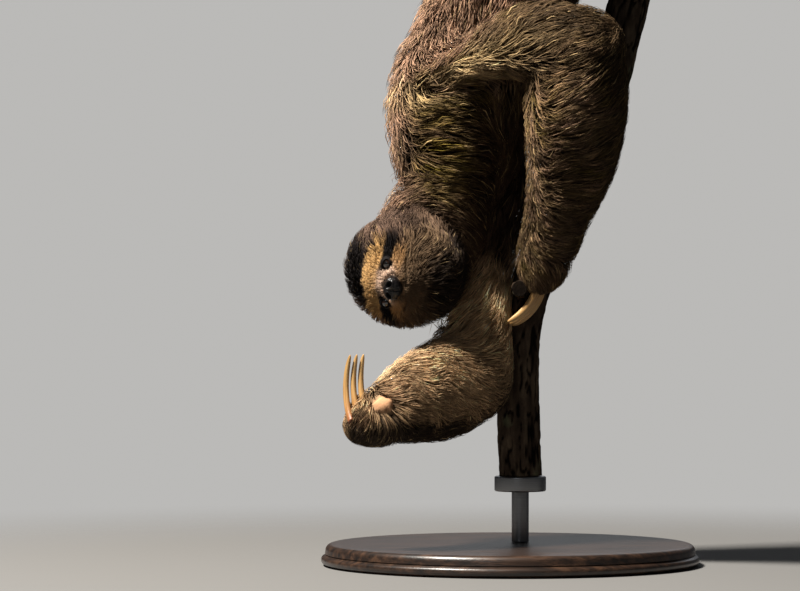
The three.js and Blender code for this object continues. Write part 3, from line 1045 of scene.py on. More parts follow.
@dataclass(frozen=True)
class Markings:
    """The coat's colours as a formula of place, which skin and coat share."""

    warm: Triple = (160, 128, 104)
    rosy: Triple = (172, 134, 110)
    olive: Triple = (106, 89, 34)
    umber: Triple = (84, 66, 46)
    # sandy fur of the right forearm, made paler as painted light
    sandy_and_lit: Triple = (216, 178, 136)
    brow: Triple = (190, 150, 98)
    bridge: Triple = (228, 196, 172)
    cheek: Triple = (168, 130, 88)
    chin: Triple = (114, 92, 70)
    stripe: Triple = (17, 13, 13)
    # dark fringe over the brow, deepened as painted shade
    fringe_and_shade: Triple = (26, 21, 20)
    crown: Triple = (104, 83, 70)
    palm: Triple = (212, 162, 122)
    knuckle: Triple = (84, 62, 44)
    shade: Triple = (27, 22, 20)
    # dark brown fur, also used as painted shade in the hollows under the arm and the ridge
    dark_fur_and_shade: Triple = (64, 46, 34)
    # the pale tone of stray locks, and painted light on the shoulder ridge
    pale_and_lit: Triple = (206, 176, 128)
    # painted light by the right elbow
    elbow_light: Triple = (226, 186, 142)
    palm_place: Triple = (-116, -134, 153.5)
    palm_half: Triple = (14, 15, 11)
    knuckle_place: Triple = (-136, -130, 143)
    knuckle_half: Triple = (13, 9, 8)

    def body_colour(self, points: Array, touch: Touch, region: Array) -> Array:
        """Colours of all but the head: warm brown along the back, olive over the shoulder and the
        left arm, sandy along the right forearm, made paler there as painted light, umber where the
        body faces the branch, partly as painted shade, painted light along the shoulder ridge and by
        the right elbow, a dark throat and front deepened by painted shade in the hollow under the left
        arm, painted shade under the shoulder ridge and on the left forearm's far side, and painted
        shade under the right arm and its hand.

        Args:
            points: Places in millimetres.
            touch: The field there.
            region: Numbers of the points' regions.

        Returns:
            Colours, n by 3.
        """
        order = list(Region)
        arm = region == order.index(Region.LEFT_ARM)
        right = region == order.index(Region.RIGHT_ARM)
        x, y, z = points.T
        warm, olive, umber = linear(*self.warm), linear(*self.olive), linear(*self.umber)
        blotch = 0.5 + 0.5 * ripple(points, 60, 3)
        fleck = 0.5 + 0.5 * ripple(points, 17, 4)
        colour = mix(np.tile(warm, (len(points), 1)), linear(*self.rosy), 0.6 * blotch)
        # umber on the side that faces the branch: partly dark belly fur, partly painted shade on the
        # side turned from the light
        belly_and_shade = ease(-0.1, 0.9, touch.normal[:, 0])
        colour = mix(colour, umber, 0.75 * belly_and_shade)
        green = ease(470, 430, z) * ease(320, 360, z) * ease(-105, -80, x) * ease(-5, -35, y)
        # painted shade: umber and dark fur on the trunk below the left shoulder ridge, where the
        # ridge's shadow falls
        ridge_shadow = ease(455, 425, z) * ease(-112, -85, x) * ease(5, -30, y) * ~arm
        colour = mix(colour, umber, 0.85 * ridge_shadow)
        green = np.maximum(green, 0.9 * arm * ease(-60, -10, x))
        green = np.maximum(green, 0.35 * ease(500, 640, z))
        colour = mix(colour, olive, green * (0.35 + 0.65 * fleck) * (0.6 + 0.4 * blotch))
        colour = mix(colour, linear(*self.dark_fur_and_shade), 0.4 * ridge_shadow * (1 - fleck))
        mottle = 0.5 + 0.5 * ripple(points, 34, 8)
        # the left arm darker towards the hand, with painted shade on its far side, turned from the
        # light
        colour = mix(colour, umber, arm * np.maximum(0.5 * ease(440, 330, z), 0.6 * ease(60, 95, x)))
        colour = mix(colour, linear(*self.dark_fur_and_shade), 0.55 * arm * mottle * ease(-60, -10, x))
        colour = mix(colour, umber, 0.85 * arm * ease(425, 455, z) * ease(-40, 10, x))
        # painted light: a pale crest along the top of the left shoulder ridge and a pale patch on the
        # trunk's edge beside it, where the light falls
        lit_crest = arm * hill(x + 45, z - 460 - 0.25 * (x + 45), 54, 13)
        colour = mix(colour, linear(*self.pale_and_lit), 0.95 * lit_crest)
        colour = mix(colour, linear(*self.pale_and_lit), 0.6 * ~arm * hill(x + 90, z - 438, 22, 13))
        # painted shade: the chest in the hollow under the left arm darkened, partly the chest's own
        # dark fur
        front = ease(450, 430, z) * ease(-70, -25, x) * ~arm * ~right
        colour = mix(colour, linear(*self.dark_fur_and_shade), 0.85 * front)
        # painted shade on the right arm's upper end, in the shade of the head
        colour = mix(colour, linear(*self.dark_fur_and_shade), 0.8 * right * ease(258, 284, z))
        # sandy along the right forearm, made paler as painted light where the light falls
        colour = mix(colour, linear(*self.sandy_and_lit), right * ease(284, 250, z) * (0.6 + 0.4 * blotch))
        # painted light: a pale pool on the right arm by the elbow, where the light reaches past the
        # head
        colour = mix(colour, linear(*self.elbow_light), 0.8 * right * hill(x + 22, z - 230, 26, 26))
        # painted shade: the right arm's undersides and the bottom of its hand darkened towards near
        # black, partly dark fur
        shade_under = ease(-0.05, -0.75, touch.normal[:, 2]) * ease(200, 170, z)
        hand_bottom_shade = ease(143, 134, z + 3 * ripple(points, 9, 7)) * ease(-30, -60, x) * ease(-153, -144, x)
        colour = mix(colour, linear(*self.shade), right * np.maximum(0.9 * shade_under, 0.94 * hand_bottom_shade))
        colour = mix(colour, linear(*self.knuckle), 0.9 * self.root_share(points))
        return mix(colour, linear(*self.palm), self.palm_share(points))

    def palm_share(self, points: Array) -> Array:
        """How bare the right hand's palm is: a soft ball with a ragged edge about the pad."""
        away = (points - np.array(self.palm_place)) / np.array(self.palm_half)
        return ease(1.2, 0.7, np.linalg.norm(away, axis=1) + 0.12 * ripple(points, 5, 6))

    def root_share(self, points: Array) -> Array:
        """How near the roots of the right hand's claws lie, where the hair is thin and dark."""
        away = (points - np.array(self.knuckle_place)) / np.array(self.knuckle_half)
        return ease(1.2, 0.8, np.linalg.norm(away, axis=1))

    def stripe_share(self, left: Array, up: Array) -> Array:
        """How dark the eye stripe is: a band from the eye's inner end outwards and slightly down.

        Args:
            left: Head places along the first axis.
            up: Head places along the second.

        Returns:
            Shares from 0 to 1.
        """
        reach = np.abs(left)
        middle = 5.8 - 0.0065 * np.maximum(reach - 12, 0) ** 2
        width = 4.1 + 0.08 * (reach - 14)
        ends = ease(10.5, 12.5, reach) * ease(46, 38, reach)
        band = ease(1.2, -1.2, np.abs(up - middle) - width) * ends
        return np.maximum(band, ease(7.3, 5.9, np.hypot(reach - 18.5, up - 4)))

    def head_colour(self, places: Array) -> Array:
        """Colours of the head: a tan brow over a pale bridge, dark eye stripes, tan cheeks, a
        brown chin, painted shade over the side towards the trunk, and a dark fringe over the brow,
        deepened by painted shade.

        Args:
            places: Head places.

        Returns:
            Colours, n by 3.
        """
        left, up, front = places.T
        reach = np.abs(left)
        wander = 1.3 * ripple(places, 9, 5)
        colour = np.tile(linear(*self.crown), (len(places), 1))
        colour = mix(colour, linear(*self.umber), 0.5 * ease(15, -25, up) * ease(30, 0, front))
        ahead = ease(0, 12, front)
        # the dark fringe over the brow, made darker as painted shade
        fringe_and_shade = ease(24, 29, up + wander + 0.006 * left**2) * ease(56, 46, up) * ease(34, 20, reach)
        colour = mix(colour, linear(*self.fringe_and_shade), fringe_and_shade * ease(-10, 8, front))
        lower = ease(-4, -12, up + wander) * ease(50, 40, reach) * ahead
        colour = mix(colour, linear(*self.chin), lower)
        cheek = ease(-15, -9, up + wander) * ease(6, 0, up) * ease(38, 28, reach) * ahead
        colour = mix(colour, linear(*self.cheek), cheek)
        middle = 18.6 - 0.0042 * left**2
        band = ease(1.6, -1.6, np.abs(up + wander - middle) - (8.9 - 0.06 * reach))
        colour = mix(colour, linear(*self.brow), band * ease(40, 31, reach + wander) * ahead)
        # painted shade: the side of the head towards the trunk and arm darkened towards near black
        nape_shade = ease(-22, -40, up + 2 * wander) * ease(38, 22, left)
        colour = mix(colour, linear(*self.shade), 0.85 * nape_shade)
        bridge = np.maximum(0.5 * hill(left, up - 6, 11, 6), hill(reach - 11.5, up + 0.5, 5.5, 6.5))
        colour = mix(colour, linear(*self.bridge), np.clip(1.5 * bridge, 0, 1) * ahead)
        colour = mix(colour, linear(*self.stripe), self.stripe_share(left, up + 0.3 * wander))
        pad = ease(11.6, 10.4, np.hypot(left, (up + 6) * 1.25)) * ease(36, 42, front)
        return mix(colour, linear(*self.stripe), pad)

    def colour(self, points: Array, touch: Touch, body: Body) -> Array:
        """The markings at some points, as light given back.

        Args:
            points: Places in millimetres.
            touch: The field there.
            body: The body they belong to.

        Returns:
            Three numbers for each point.
        """
        region = body.region_of(touch.length)
        own = region == list(Region).index(Region.HEAD)
        colour = self.body_colour(points, touch, region)
        colour[own] = self.head_colour(body.head.local(points[own]))
        return colour


# ---- Skin -------------------------------------------------------------------------------------


@dataclass
class Skin:
    """One closed skin over the whole body, with the face's own folds."""

    body: Body
    markings: Markings
    cell: float = 2.7
    cuts: int = 3
    passes: int = 5
    lid: float = 7.1

    def join_lengths(self) -> bpy.types.Object:
        """Every length, the head and the ears as closed shells in one mesh.

        Returns:
            The shells as one piece.
        """
        shells = [length.surface() for length in LENGTHS]
        shells.append(self.body.head.surface())
        shells += [self.body.head.ear_surface(side) for side in (1.0, -1.0)]
        points, faces, start = [], [], 0
        for shell, sides in shells:
            points.append(shell)
            faces.append(sides + start)
            start += len(shell)
        return mesh_object("sloth_skin", np.concatenate(points), np.concatenate(faces))

    def melt(self, piece: bpy.types.Object) -> None:
        """Runs the shells together into one skin of even cells, and keeps the mesh.

        Args:
            piece: The shells.
        """
        remesh = piece.modifiers.new("one skin", "REMESH")
        remesh.mode = "VOXEL"
        remesh.voxel_size = self.cell * MM
        remesh.use_smooth_shade = True
        graph = bpy.context.evaluated_depsgraph_get()
        melted = bpy.data.meshes.new_from_object(piece.evaluated_get(graph))
        piece.modifiers.clear()
        piece.data = melted

    def refine_face(self, piece: bpy.types.Object) -> None:
        """Cuts each cell of the face into smaller ones.

        Args:
            piece: The skin.
        """
        work = bmesh.new()
        work.from_mesh(piece.data)
        work.faces.ensure_lookup_table()
        middles = np.array([face.calc_center_median() for face in work.faces]) / MM
        left, up, front = self.body.head.local(middles).T
        near = (front > 12) & (np.hypot(left, up) < 38)
        edges = {edge for i in np.flatnonzero(near) for edge in work.faces[i].edges}
        bmesh.ops.subdivide_edges(work, edges=list(edges), cuts=self.cuts, use_grid_fill=True)
        work.to_mesh(piece.data)
        work.free()

    def lower(self, points: Array) -> Array:
        """Moves points down the field until they lie on the skin."""
        for _ in range(self.passes):
            touch = self.body.touch(points)
            points = points - touch.normal * (0.85 * touch.distance)[:, None]
        return points

    def model_face(self, points: Array) -> Array:
        """The lids, the mouth and the folds, as moves in the head's own frame.

        A lid is a dome over the eye, cut open where (x over half width) squared plus (y over half
        height) squared is under one. The mouth is a groove along a curve that rises with the
        square of its distance from the middle, between two soft lips.

        Args:
            points: The skin, in millimetres.

        Returns:
            The skin with its face.
        """
        head = self.body.head
        places = head.local(points)
        left, up, front = places.T
        ahead = ease(14, 20, front)
        reach = np.abs(left)
        line = head.mouth_drop + 0.0045 * left**2
        span = ease(27, 20, reach) * ahead
        groove = -1.9 * np.exp(-(((up - line) / 0.95) ** 2))
        upper = 0.9 * np.exp(-(((up - line - 2.4) / 1.5) ** 2))
        lips = upper + 1.0 * np.exp(-(((up - line + 2.3) / 1.7) ** 2))
        cleft = -0.7 * np.exp(-((left / 0.8) ** 2)) * ease(line - 1, line + 2, up) * ease(-8, -11, up)
        rise = span * (groove + lips) + cleft * ahead
        x, y = reach - head.eye[0], up - head.eye[1]
        round_eye = np.hypot(x, y)
        crease = -0.8 * np.exp(-(((round_eye - 9.0) / 0.9) ** 2))
        crease = crease - 0.5 * np.exp(-(((round_eye - 11.5) / 1.0) ** 2))
        rise = rise + crease * ahead
        front = front + rise
        dome = head.eye[2] + np.sqrt(np.maximum(self.lid**2 - round_eye**2, 0)) - 0.4
        lidded = np.where(round_eye < self.lid, np.maximum(front, dome), front)
        opening = 1 - (x / 4.9) ** 2 - ((y + 0.3) / 3.1) ** 2
        shut = np.where(opening > 0, head.eye[2] - 1.5, lidded)
        edge = ease(0.0, 0.16, opening)
        front = np.where(round_eye < self.lid, lidded * (1 - edge) + shut * edge, front)
        moved = np.where(places[:, 2:3] > 12, np.stack([left, up, front], -1), places)
        return head.world(moved)

    def build(self) -> bpy.types.Object:
        """Makes the skin and stores its markings, with painted shade where the coat over it is deep.

        Returns:
            The skin.
        """
        piece = self.join_lengths()
        self.melt(piece)
        self.refine_face(piece)
        points = self.model_face(self.lower(coordinates(piece.data)))
        touch = self.body.touch(points)
        palm, root = self.markings.palm_share(points), self.markings.root_share(points)
        raised = touch.depth * np.maximum(0.6 * palm, 0.55 * root) * (touch.normal[:, 1] < 0)
        points = points + touch.normal * raised[:, None]
        move_vertices(piece.data, points)
        tint = self.markings.colour(points, touch, self.body)
        # painted shade: the skin darkened where the coat over it is deep, and left bright where it is
        # bare
        shade_under = 0.36 + 0.52 * ease(8.5, 4.0, touch.depth)
        shade_under = np.maximum(shade_under, np.maximum(palm, 0.6 * root))
        paint(piece.data, "coat_tint", tint * shade_under[:, None])
        HideFinish().surface().dress(piece)
        return piece


# ---- Coat -------------------------------------------------------------------------------------


@dataclass(frozen=True)
class Stroke:
    """A stroke of the comb: near (x, z) on a region, the hair runs along (dx, dz)."""

    region: Region
    x: float
    z: float
    dx: float
    dz: float


LOCK_RINGS = 3
LOCK_SIDES = 3
LOCK_POINTS = LOCK_RINGS * LOCK_SIDES + 1
STROKES = (
    Stroke(R.TRUNK, -51, 509, 0.15, -1.0),
    Stroke(R.TRUNK, -80, 486, 0.7, -0.35),
    Stroke(R.TRUNK, -65, 458, 0.85, 0.35),
    Stroke(R.TRUNK, -102, 421, 0.8, 0.55),
    Stroke(R.TRUNK, -88, 389, 0.9, 0.2),
    Stroke(R.TRUNK, -56, 377, 0.9, 0.3),
    Stroke(R.NECK, -120, 324, 0.75, 0.65),
    Stroke(R.NECK, -102, 338, 0.85, 0.5),
    Stroke(R.NECK, -74, 352, 0.95, 0.1),
    Stroke(R.NECK, -54, 338, 0.75, -0.65),
    Stroke(R.NECK, -42, 306, 0.45, -0.9),
    Stroke(R.LEFT_ARM, -65, 440, 0.85, 0.5),
    Stroke(R.LEFT_ARM, -18, 463, 0.97, 0.2),
    Stroke(R.LEFT_ARM, -28, 481, 0.65, 0.75),
    Stroke(R.LEFT_ARM, 9, 497, 0.97, 0.15),
    Stroke(R.LEFT_ARM, 56, 491, 0.8, -0.6),
    Stroke(R.LEFT_ARM, 28, 458, 0.85, 0.5),
    Stroke(R.LEFT_ARM, 88, 455, 0.4, 0.9),
    Stroke(R.LEFT_ARM, 37, 421, 0.85, 0.5),
    Stroke(R.LEFT_ARM, 83, 412, 0.95, 0.2),
    Stroke(R.LEFT_ARM, 28, 384, 0.75, 0.6),
    Stroke(R.LEFT_ARM, 74, 384, 0.9, 0.35),
    Stroke(R.LEFT_ARM, 32, 356, 0.65, 0.7),
    Stroke(R.LEFT_ARM, 60, 347, 0.95, 0.0),
    Stroke(R.LEFT_ARM, 23, 324, 0.75, -0.3),
    Stroke(R.LEFT_ARM, 46, 319, 0.95, -0.3),
    Stroke(R.LEFT_ARM, 14, 296, 0.7, -0.5),
    Stroke(R.LEFT_ARM, 9, 266, 0.35, -0.9),
    Stroke(R.RIGHT_ARM, -102, 176, 0.85, 0.4),
    Stroke(R.RIGHT_ARM, -65, 204, 0.8, 0.55),
    Stroke(R.RIGHT_ARM, -83, 153, 0.95, -0.2),
    Stroke(R.RIGHT_ARM, -46, 167, 0.8, -0.6),
    Stroke(R.RIGHT_ARM, -28, 199, 0.75, 0.15),
    Stroke(R.RIGHT_ARM, -56, 132, 0.75, -0.6),
    Stroke(R.RIGHT_ARM, -18, 236, 0.4, 0.9),
    Stroke(R.RIGHT_ARM, -139, 134, -0.3, -0.9),
)


@dataclass
class Coat:
    """Locks of fur over the skin. Length, width and how many there are follow the coat's depth."""

    body: Body
    markings: Markings
    skin: bpy.types.Object
    cover: dict[Region, float] = field(
        default_factory=lambda: {
            R.HEAD: 8.0, R.NECK: 11.0, R.TRUNK: 7.5, R.TAIL: 6.5, R.LEFT_ARM: 10.5,
            R.RIGHT_ARM: 10.5, R.LEFT_LEG: 6.5, R.RIGHT_LEG: 6.5,
        }
    )
    steps: int = LOCK_RINGS
    bake_patch: float = 0.003
    stroke_size: float = 26.0
    most_locks: int = 12000
    palm_edge: float = 0.6
    clump_cells: tuple[float, ...] = (2.6, 4.2, 7.0, 9.5)
    clump_depths: tuple[float, ...] = (4.5, 8.0, 12.5)
    lifts: tuple[float, ...] = (0.0, 0.66, 0.96, 1.04)

    def __post_init__(self) -> None:
        """Seeds the coat's own chance."""
        self.rng = np.random.default_rng(SEED)

    def lock_length(self, touch: Touch) -> Array:
        """Millimetres of hair for the depth of the coat: the head's is cropped shorter.

        Args:
            touch: The field at the roots.

        Returns:
            Lengths.
        """
        head = self.body.region_of(touch.length) == list(Region).index(Region.HEAD)
        full = 2.95 * touch.depth - 3.2
        return np.where(head, 2.8 + 0.62 * (full - 2.8), full)

    def lock_width(self, touch: Touch, height: Array) -> Array:
        """Half of a lock's width for the depth of the coat, coarser on the hindquarters.

        Args:
            touch: The field at the roots.
            height: Millimetres above the floor.

        Returns:
            Half widths.
        """
        return (0.135 + 0.0255 * touch.depth) * (1 + 0.5 * ease(530, 620, height))

    def roots(self) -> tuple[Array, Touch]:
        """Chooses the places of the locks by area and cover.

        Returns:
            The roots and the field there.
        """
        points = coordinates(self.skin.data)
        corners = triangles(self.skin.data)
        a, b, c = points[corners[:, 0]], points[corners[:, 1]], points[corners[:, 2]]
        area = 0.5 * np.linalg.norm(np.cross(b - a, c - a), axis=1)
        touch = self.body.touch((a + b + c) / 3)
        region = self.body.region_of(touch.length)
        cover = np.array([self.cover[r] for r in Region])[region]
        height = ((a + b + c) / 3)[:, 2]
        per_area = cover / (self.lock_length(touch) * 2 * self.lock_width(touch, height))
        weight = area * per_area
        count = int(weight.sum())
        rank = (np.arange(count) + self.rng.random(count)) / count
        face = np.searchsorted(np.cumsum(weight) / weight.sum(), rank)
        face = np.minimum(face, len(area) - 1)
        r = np.sqrt(self.rng.random(count))[:, None]
        s = self.rng.random(count)[:, None]
        roots = a[face] * (1 - r) + b[face] * r * (1 - s) + c[face] * r * s
        touch = self.body.touch(roots)
        keep = ~self.bare(roots)
        return roots[keep], self.take(touch, keep)

    @staticmethod
    def take(touch: Touch, keep: Array) -> Touch:
        """The field of some of its points."""
        return Touch(*[getattr(touch, n)[keep] for n in touch.__dataclass_fields__])

    def bare(self, roots: Array) -> Array:
        """Where no hair grows: the nose, the lips' line, the eyes and the palm.

        Args:
            roots: Places of locks.

        Returns:
            Whether each root stays bare.
        """
        head = self.body.head
        left, up, front = head.local(roots).T
        nose = (np.hypot(left / 10.6, (up + 6) / 8.6) < 1) & (front > 30)
        eye = (np.hypot(np.abs(left) - head.eye[0], (up - head.eye[1]) * 1.25) < 6.2) & (front > 20)
        line = head.mouth_drop + 0.0045 * left**2
        mouth = (np.abs(up - line) < 1.2) & (np.abs(left) < 22) & (front > 20)
        share = np.maximum(self.markings.palm_share(roots), 0.5 * self.markings.root_share(roots))
        return nose | eye | mouth | (self.rng.random(len(roots)) < 0.96 * share)

    def lie(self, points: Array, touch: Touch) -> Array:
        """The way the hair runs: each length's own way, pulled over by the strokes near a point.

        A stroke's weight is e to the minus half the squared distance over its size. On the head
        the hair runs out from the nose, then over the crown to the left and back.

        Args:
            points: Places in millimetres.
            touch: The field there.

        Returns:
            Unit vectors.
        """
        region = self.body.region_of(touch.length)
        base = np.array([entry.lie for entry in LENGTHS] + [(0, 0, 0)], float)[touch.length]
        way = 0.3 * unit(base)
        order = list(Region)
        for stroke in STROKES:
            near = np.hypot(points[:, 0] - stroke.x, points[:, 2] - stroke.z) / self.stroke_size
            weight = np.exp(-0.5 * near**2) * (region == order.index(stroke.region))
            way += weight[:, None] * np.array([stroke.dx, 0, stroke.dz])
        back = ease(0.45, 0.95, -touch.normal[:, 0]) * (points[:, 2] < 520)
        way[:, 2] -= 1.1 * back * np.linalg.norm(way, axis=1)
        places = self.body.head.local(points)
        left, up, front = places.T
        out = np.stack([left, up + 6, np.full(len(left), -9.0)], -1)
        over = np.stack([np.full(len(left), 0.85), -0.1 - 0.01 * up, np.full(len(left), -0.5)], -1)
        crown = ease(24, 36, up) + ease(12, -4, front)
        turn = mix(unit(out), unit(over), np.clip(crown, 0, 1))
        own = region == order.index(Region.HEAD)
        way[own] = turn[own] @ self.body.head.axes()
        return unit(way)

    def comb(self, roots: Array, touch: Touch) -> tuple[Array, Array]:
        """Lays each lock along the skin in steps, up to the coat's surface.

        At each step the lie is squared to the skin's normal, turned by slow noise and by chance,
        and the point is moved along the normal to its height, a rising share of the depth.

        Args:
            roots: Places of locks.
            touch: The field at the roots.

        Returns:
            The path of each lock and the normal at each of its points.
        """
        count = len(roots)
        depth = touch.depth
        length = self.lock_length(touch) * self.rng.uniform(0.65, 1.15, count)
        rise = depth * np.clip(self.rng.normal(0.97, 0.17, count), 0.5, 1.18)
        stray = self.rng.normal(0, 0.17, (count, 3))
        path = [roots - touch.normal * 0.5]
        normals = [touch.normal]
        here, field_here = roots, touch
        for step in range(1, self.steps + 1):
            waves = np.stack([ripple(here, 26, 11), ripple(here, 26, 12), ripple(here, 26, 13)], -1)
            fine = np.stack([ripple(here, 8, 14), ripple(here, 8, 15), ripple(here, 8, 16)], -1)
            way = self.lie(here, field_here) + 0.28 * waves + 0.08 * fine + stray
            way = square_to(way, field_here.normal)
            here = here + way * (length / self.steps)[:, None]
            field_here = self.body.touch(here)
            lift = rise * self.lifts[step] - field_here.distance
            here = here + field_here.normal * np.clip(lift, -9, 9)[:, None]
            path.append(here)
            normals.append(field_here.normal)
        return np.stack(path, 1), np.stack(normals, 1)

    def clump(self, path: Array, depth: Array) -> tuple[Array, Array]:
        """Draws each lock's tip towards the mean of its neighbours in a crooked cell.

        Args:
            path: The locks' paths.
            depth: The coat's depth at their roots.

        Returns:
            The drawn paths, and how bright each lock's clump is.
        """
        roots = path[:, 0]
        bend = np.stack([ripple(roots, 19, 21), ripple(roots, 19, 22), ripple(roots, 19, 23)], -1)
        size = np.array(self.clump_cells)[np.digitize(depth, self.clump_depths)]
        cell = np.floor((roots + 2.0 * bend) / size[:, None]).astype(np.int64)
        key = (cell[:, 0] * 4001 + cell[:, 1]) * 4001 + cell[:, 2] + size.astype(np.int64) * 10**9
        _, member = np.unique(key, return_inverse=True)
        total = np.bincount(member).astype(float)
        mean = np.stack(
            [
                np.stack([np.bincount(member, path[:, s, k]) for k in range(3)], -1) / total[:, None]
                for s in range(path.shape[1])
            ],
            1,
        )
        firm = np.clip(self.rng.normal(0.55, 0.2, len(total)), 0.1, 0.9)[member]
        share = (np.arange(path.shape[1]) / (path.shape[1] - 1)) ** 1.4
        pull = firm[:, None] * share[None, :]
        bright = np.exp(self.rng.normal(0, 1, len(total))[member] * np.where(depth < 5, 0.05, 0.2))
        return path + (mean[member] - path) * pull[..., None], bright

    def locks(self, path: Array, normals: Array, touch: Touch) -> Array:
        """A closed three-sided lock on each path, flat along the coat and drawn to a point.

        Args:
            path: The locks' paths.
            normals: The coat's normals along them.
            touch: The field at the roots.

        Returns:
            The vertices, locks by 10 by 3: three rings of three and the tip.
        """
        tangent = unit(np.gradient(path, axis=1))
        side = unit(np.cross(tangent, normals))
        top = np.cross(side, tangent)
        width = self.lock_width(touch, path[:, 0, 2]) * self.rng.uniform(0.7, 1.3, len(path))
        profile = np.array([0.6, 1.0, 0.74])
        turn = np.deg2rad([90.0, 210.0, 330.0])  # one for each of LOCK_SIDES
        half = width[:, None] * profile[None, :]
        across = side[:, :LOCK_RINGS, None] * np.cos(turn)[None, None, :, None]
        high = top[:, :LOCK_RINGS, None] * (0.6 * np.sin(turn))[None, None, :, None]
        rings = path[:, :LOCK_RINGS, None] + (across + high) * half[:, :, None, None]
        rings = rings.reshape(len(path), LOCK_POINTS - 1, 3)
        return np.concatenate([rings, path[:, LOCK_RINGS : LOCK_RINGS + 1]], axis=1)

    @staticmethod
    def lock_faces() -> Array:
        """The triangles of one lock.

        Returns:
            Corner numbers, 16 by 3.
        """
        quads = ring_faces(LOCK_RINGS, LOCK_SIDES)
        last = (LOCK_RINGS - 1) * LOCK_SIDES
        tip = [[last + j, last + (j + 1) % LOCK_SIDES, last + LOCK_SIDES] for j in range(LOCK_SIDES)]
        return np.concatenate([quads[:, [0, 1, 2]], quads[:, [0, 2, 3]], tip, [[2, 1, 0]]])

    def tints(self, path: Array, touch: Touch) -> Array:
        """Each vertex's colour: dark at the root as painted shade deep in the coat, its
        markings along it and paler at the tip.

        Args:
            path: The locks' paths.
            touch: The field at the roots.

        Returns:
            Colours, locks by 10 by 3.
        """
        base = self.markings.colour(path[:, 1], touch, self.body)
        count = len(base)
        face = touch.depth < 5.0
        head = self.body.region_of(touch.length) == list(Region).index(Region.HEAD)
        spread = np.where(face, 0.1, np.where(head, 0.2, 0.3))
        shade = np.exp(self.rng.normal(0, 1, count) * spread)
        pale = (self.rng.random(count) < np.where(head, 0.02, 0.07)) & ~face
        base = mix(base, linear(*self.markings.pale_and_lit), 0.5 * pale)
        # painted shade: each lock darkened towards its root, deep in the coat, and paler towards its
        # tip; short head hair gets a softer ramp
        full, soft = np.array([0.26, 0.62, 1.08, 1.4]), np.array([0.8, 0.95, 1.05, 1.1])
        share = np.where(head, ease(12, 4, touch.depth), 0.0)[:, None]
        along = full * (1 - share) + soft * share
        tone = base[:, None] * (along * shade[:, None])[..., None]
        step = np.concatenate([np.repeat(np.arange(LOCK_RINGS), LOCK_SIDES), [LOCK_RINGS]])
        return tone[:, step]

    def bake_places(self, touch: Touch) -> Array:
        """Each root's place on the unwrap: how far round its length, and how far along the region.

        Args:
            touch: The field at the roots.

        Returns:
            Two numbers for each root.
        """
        start = {}
        offset = np.zeros(len(LENGTHS) + 1)
        for index, entry in enumerate(LENGTHS):
            offset[index] = start.get(entry.region, 0)
            start[entry.region] = offset[index] + 1
        v = offset[touch.length] + touch.along
        return np.stack([touch.around / (2 * math.pi) + 0.5, v], -1)

    def make_piece(self, name: str, points: Array, tint: Array, place: Array) -> bpy.types.Object:
        """Joins locks into one piece with its tints, its lock coordinates and its bake map.

        Args:
            name: The piece's name.
            points: Locks by 10 by 3.
            tint: Locks by 10 by 3.
            place: Each root's place on the unwrap.

        Returns:
            The piece.
        """
        count = len(points)
        single = self.lock_faces()
        faces = (single[None] + LOCK_POINTS * np.arange(count)[:, None, None]).reshape(-1, 3)
        piece = mesh_object(name, points.reshape(-1, 3), faces)
        paint(piece.data, "coat_tint", tint.reshape(-1, 3))
        side = np.concatenate([np.tile([0.5, 0.0, 1.0], LOCK_RINGS), [0.5]])
        step = np.concatenate([np.repeat(np.arange(LOCK_RINGS), LOCK_SIDES), [LOCK_RINGS]])
        step = step / LOCK_RINGS
        own = self.rng.random(count) * 60
        grid = np.stack(np.broadcast_arrays(side[None], 0.5 * step[None], own[:, None]), -1)
        store(piece.data, "lock", grid.reshape(-1, 3))
        low, high = place.min(axis=0), place.max(axis=0)
        centre = 0.01 + 0.98 * (place - low) / np.maximum(high - low, 1e-6)
        patch = np.stack([side - 0.5, step - 0.5], -1) * self.bake_patch
        uv = (centre[:, None] + patch[None]).reshape(-1, 2)
        layer = piece.data.uv_layers.new(name="OFBake")
        layer.data.foreach_set("uv", uv[faces.ravel()].astype(np.float32).ravel())
        return piece

    def build(self) -> list[bpy.types.Object]:
        """Makes the coat of every region, split where it has too many locks for one piece.

        Returns:
            The pieces of coat.
        """
        roots, touch = self.roots()
        path, normals = self.comb(roots, touch)
        path, bright = self.clump(path, touch.depth)
        bare = [self.markings.palm_share(step) for step in path[:, 1:].swapaxes(0, 1)]
        clear = np.max(bare, axis=0) < self.palm_edge
        path, normals, bright = path[clear], normals[clear], bright[clear]
        touch = self.take(touch, clear)
        points = self.locks(path, normals, touch)
        tint = self.tints(path, touch) * bright[:, None, None]
        place = self.bake_places(touch)
        region = self.body.region_of(touch.length)
        finish = FurFinish().surface()
        pieces = []
        for number, name in enumerate(Region):
            members = np.flatnonzero(region == number)
            members = members[np.argsort(place[members, 1], kind="stable")]
            parts = max(1, math.ceil(len(members) / self.most_locks))
            for part, some in enumerate(np.array_split(members, parts)):
                title = f"coat_{name.value}" + (f"_{part + 1}" if parts > 1 else "")
                piece = self.make_piece(title, points[some], tint[some], place[some])
                finish.dress(piece)
                pieces.append(piece)
                log.info("%s: %d locks", title, len(some))
        return pieces


# ---- Eyes and nose ----------------------------------------------------------------------------


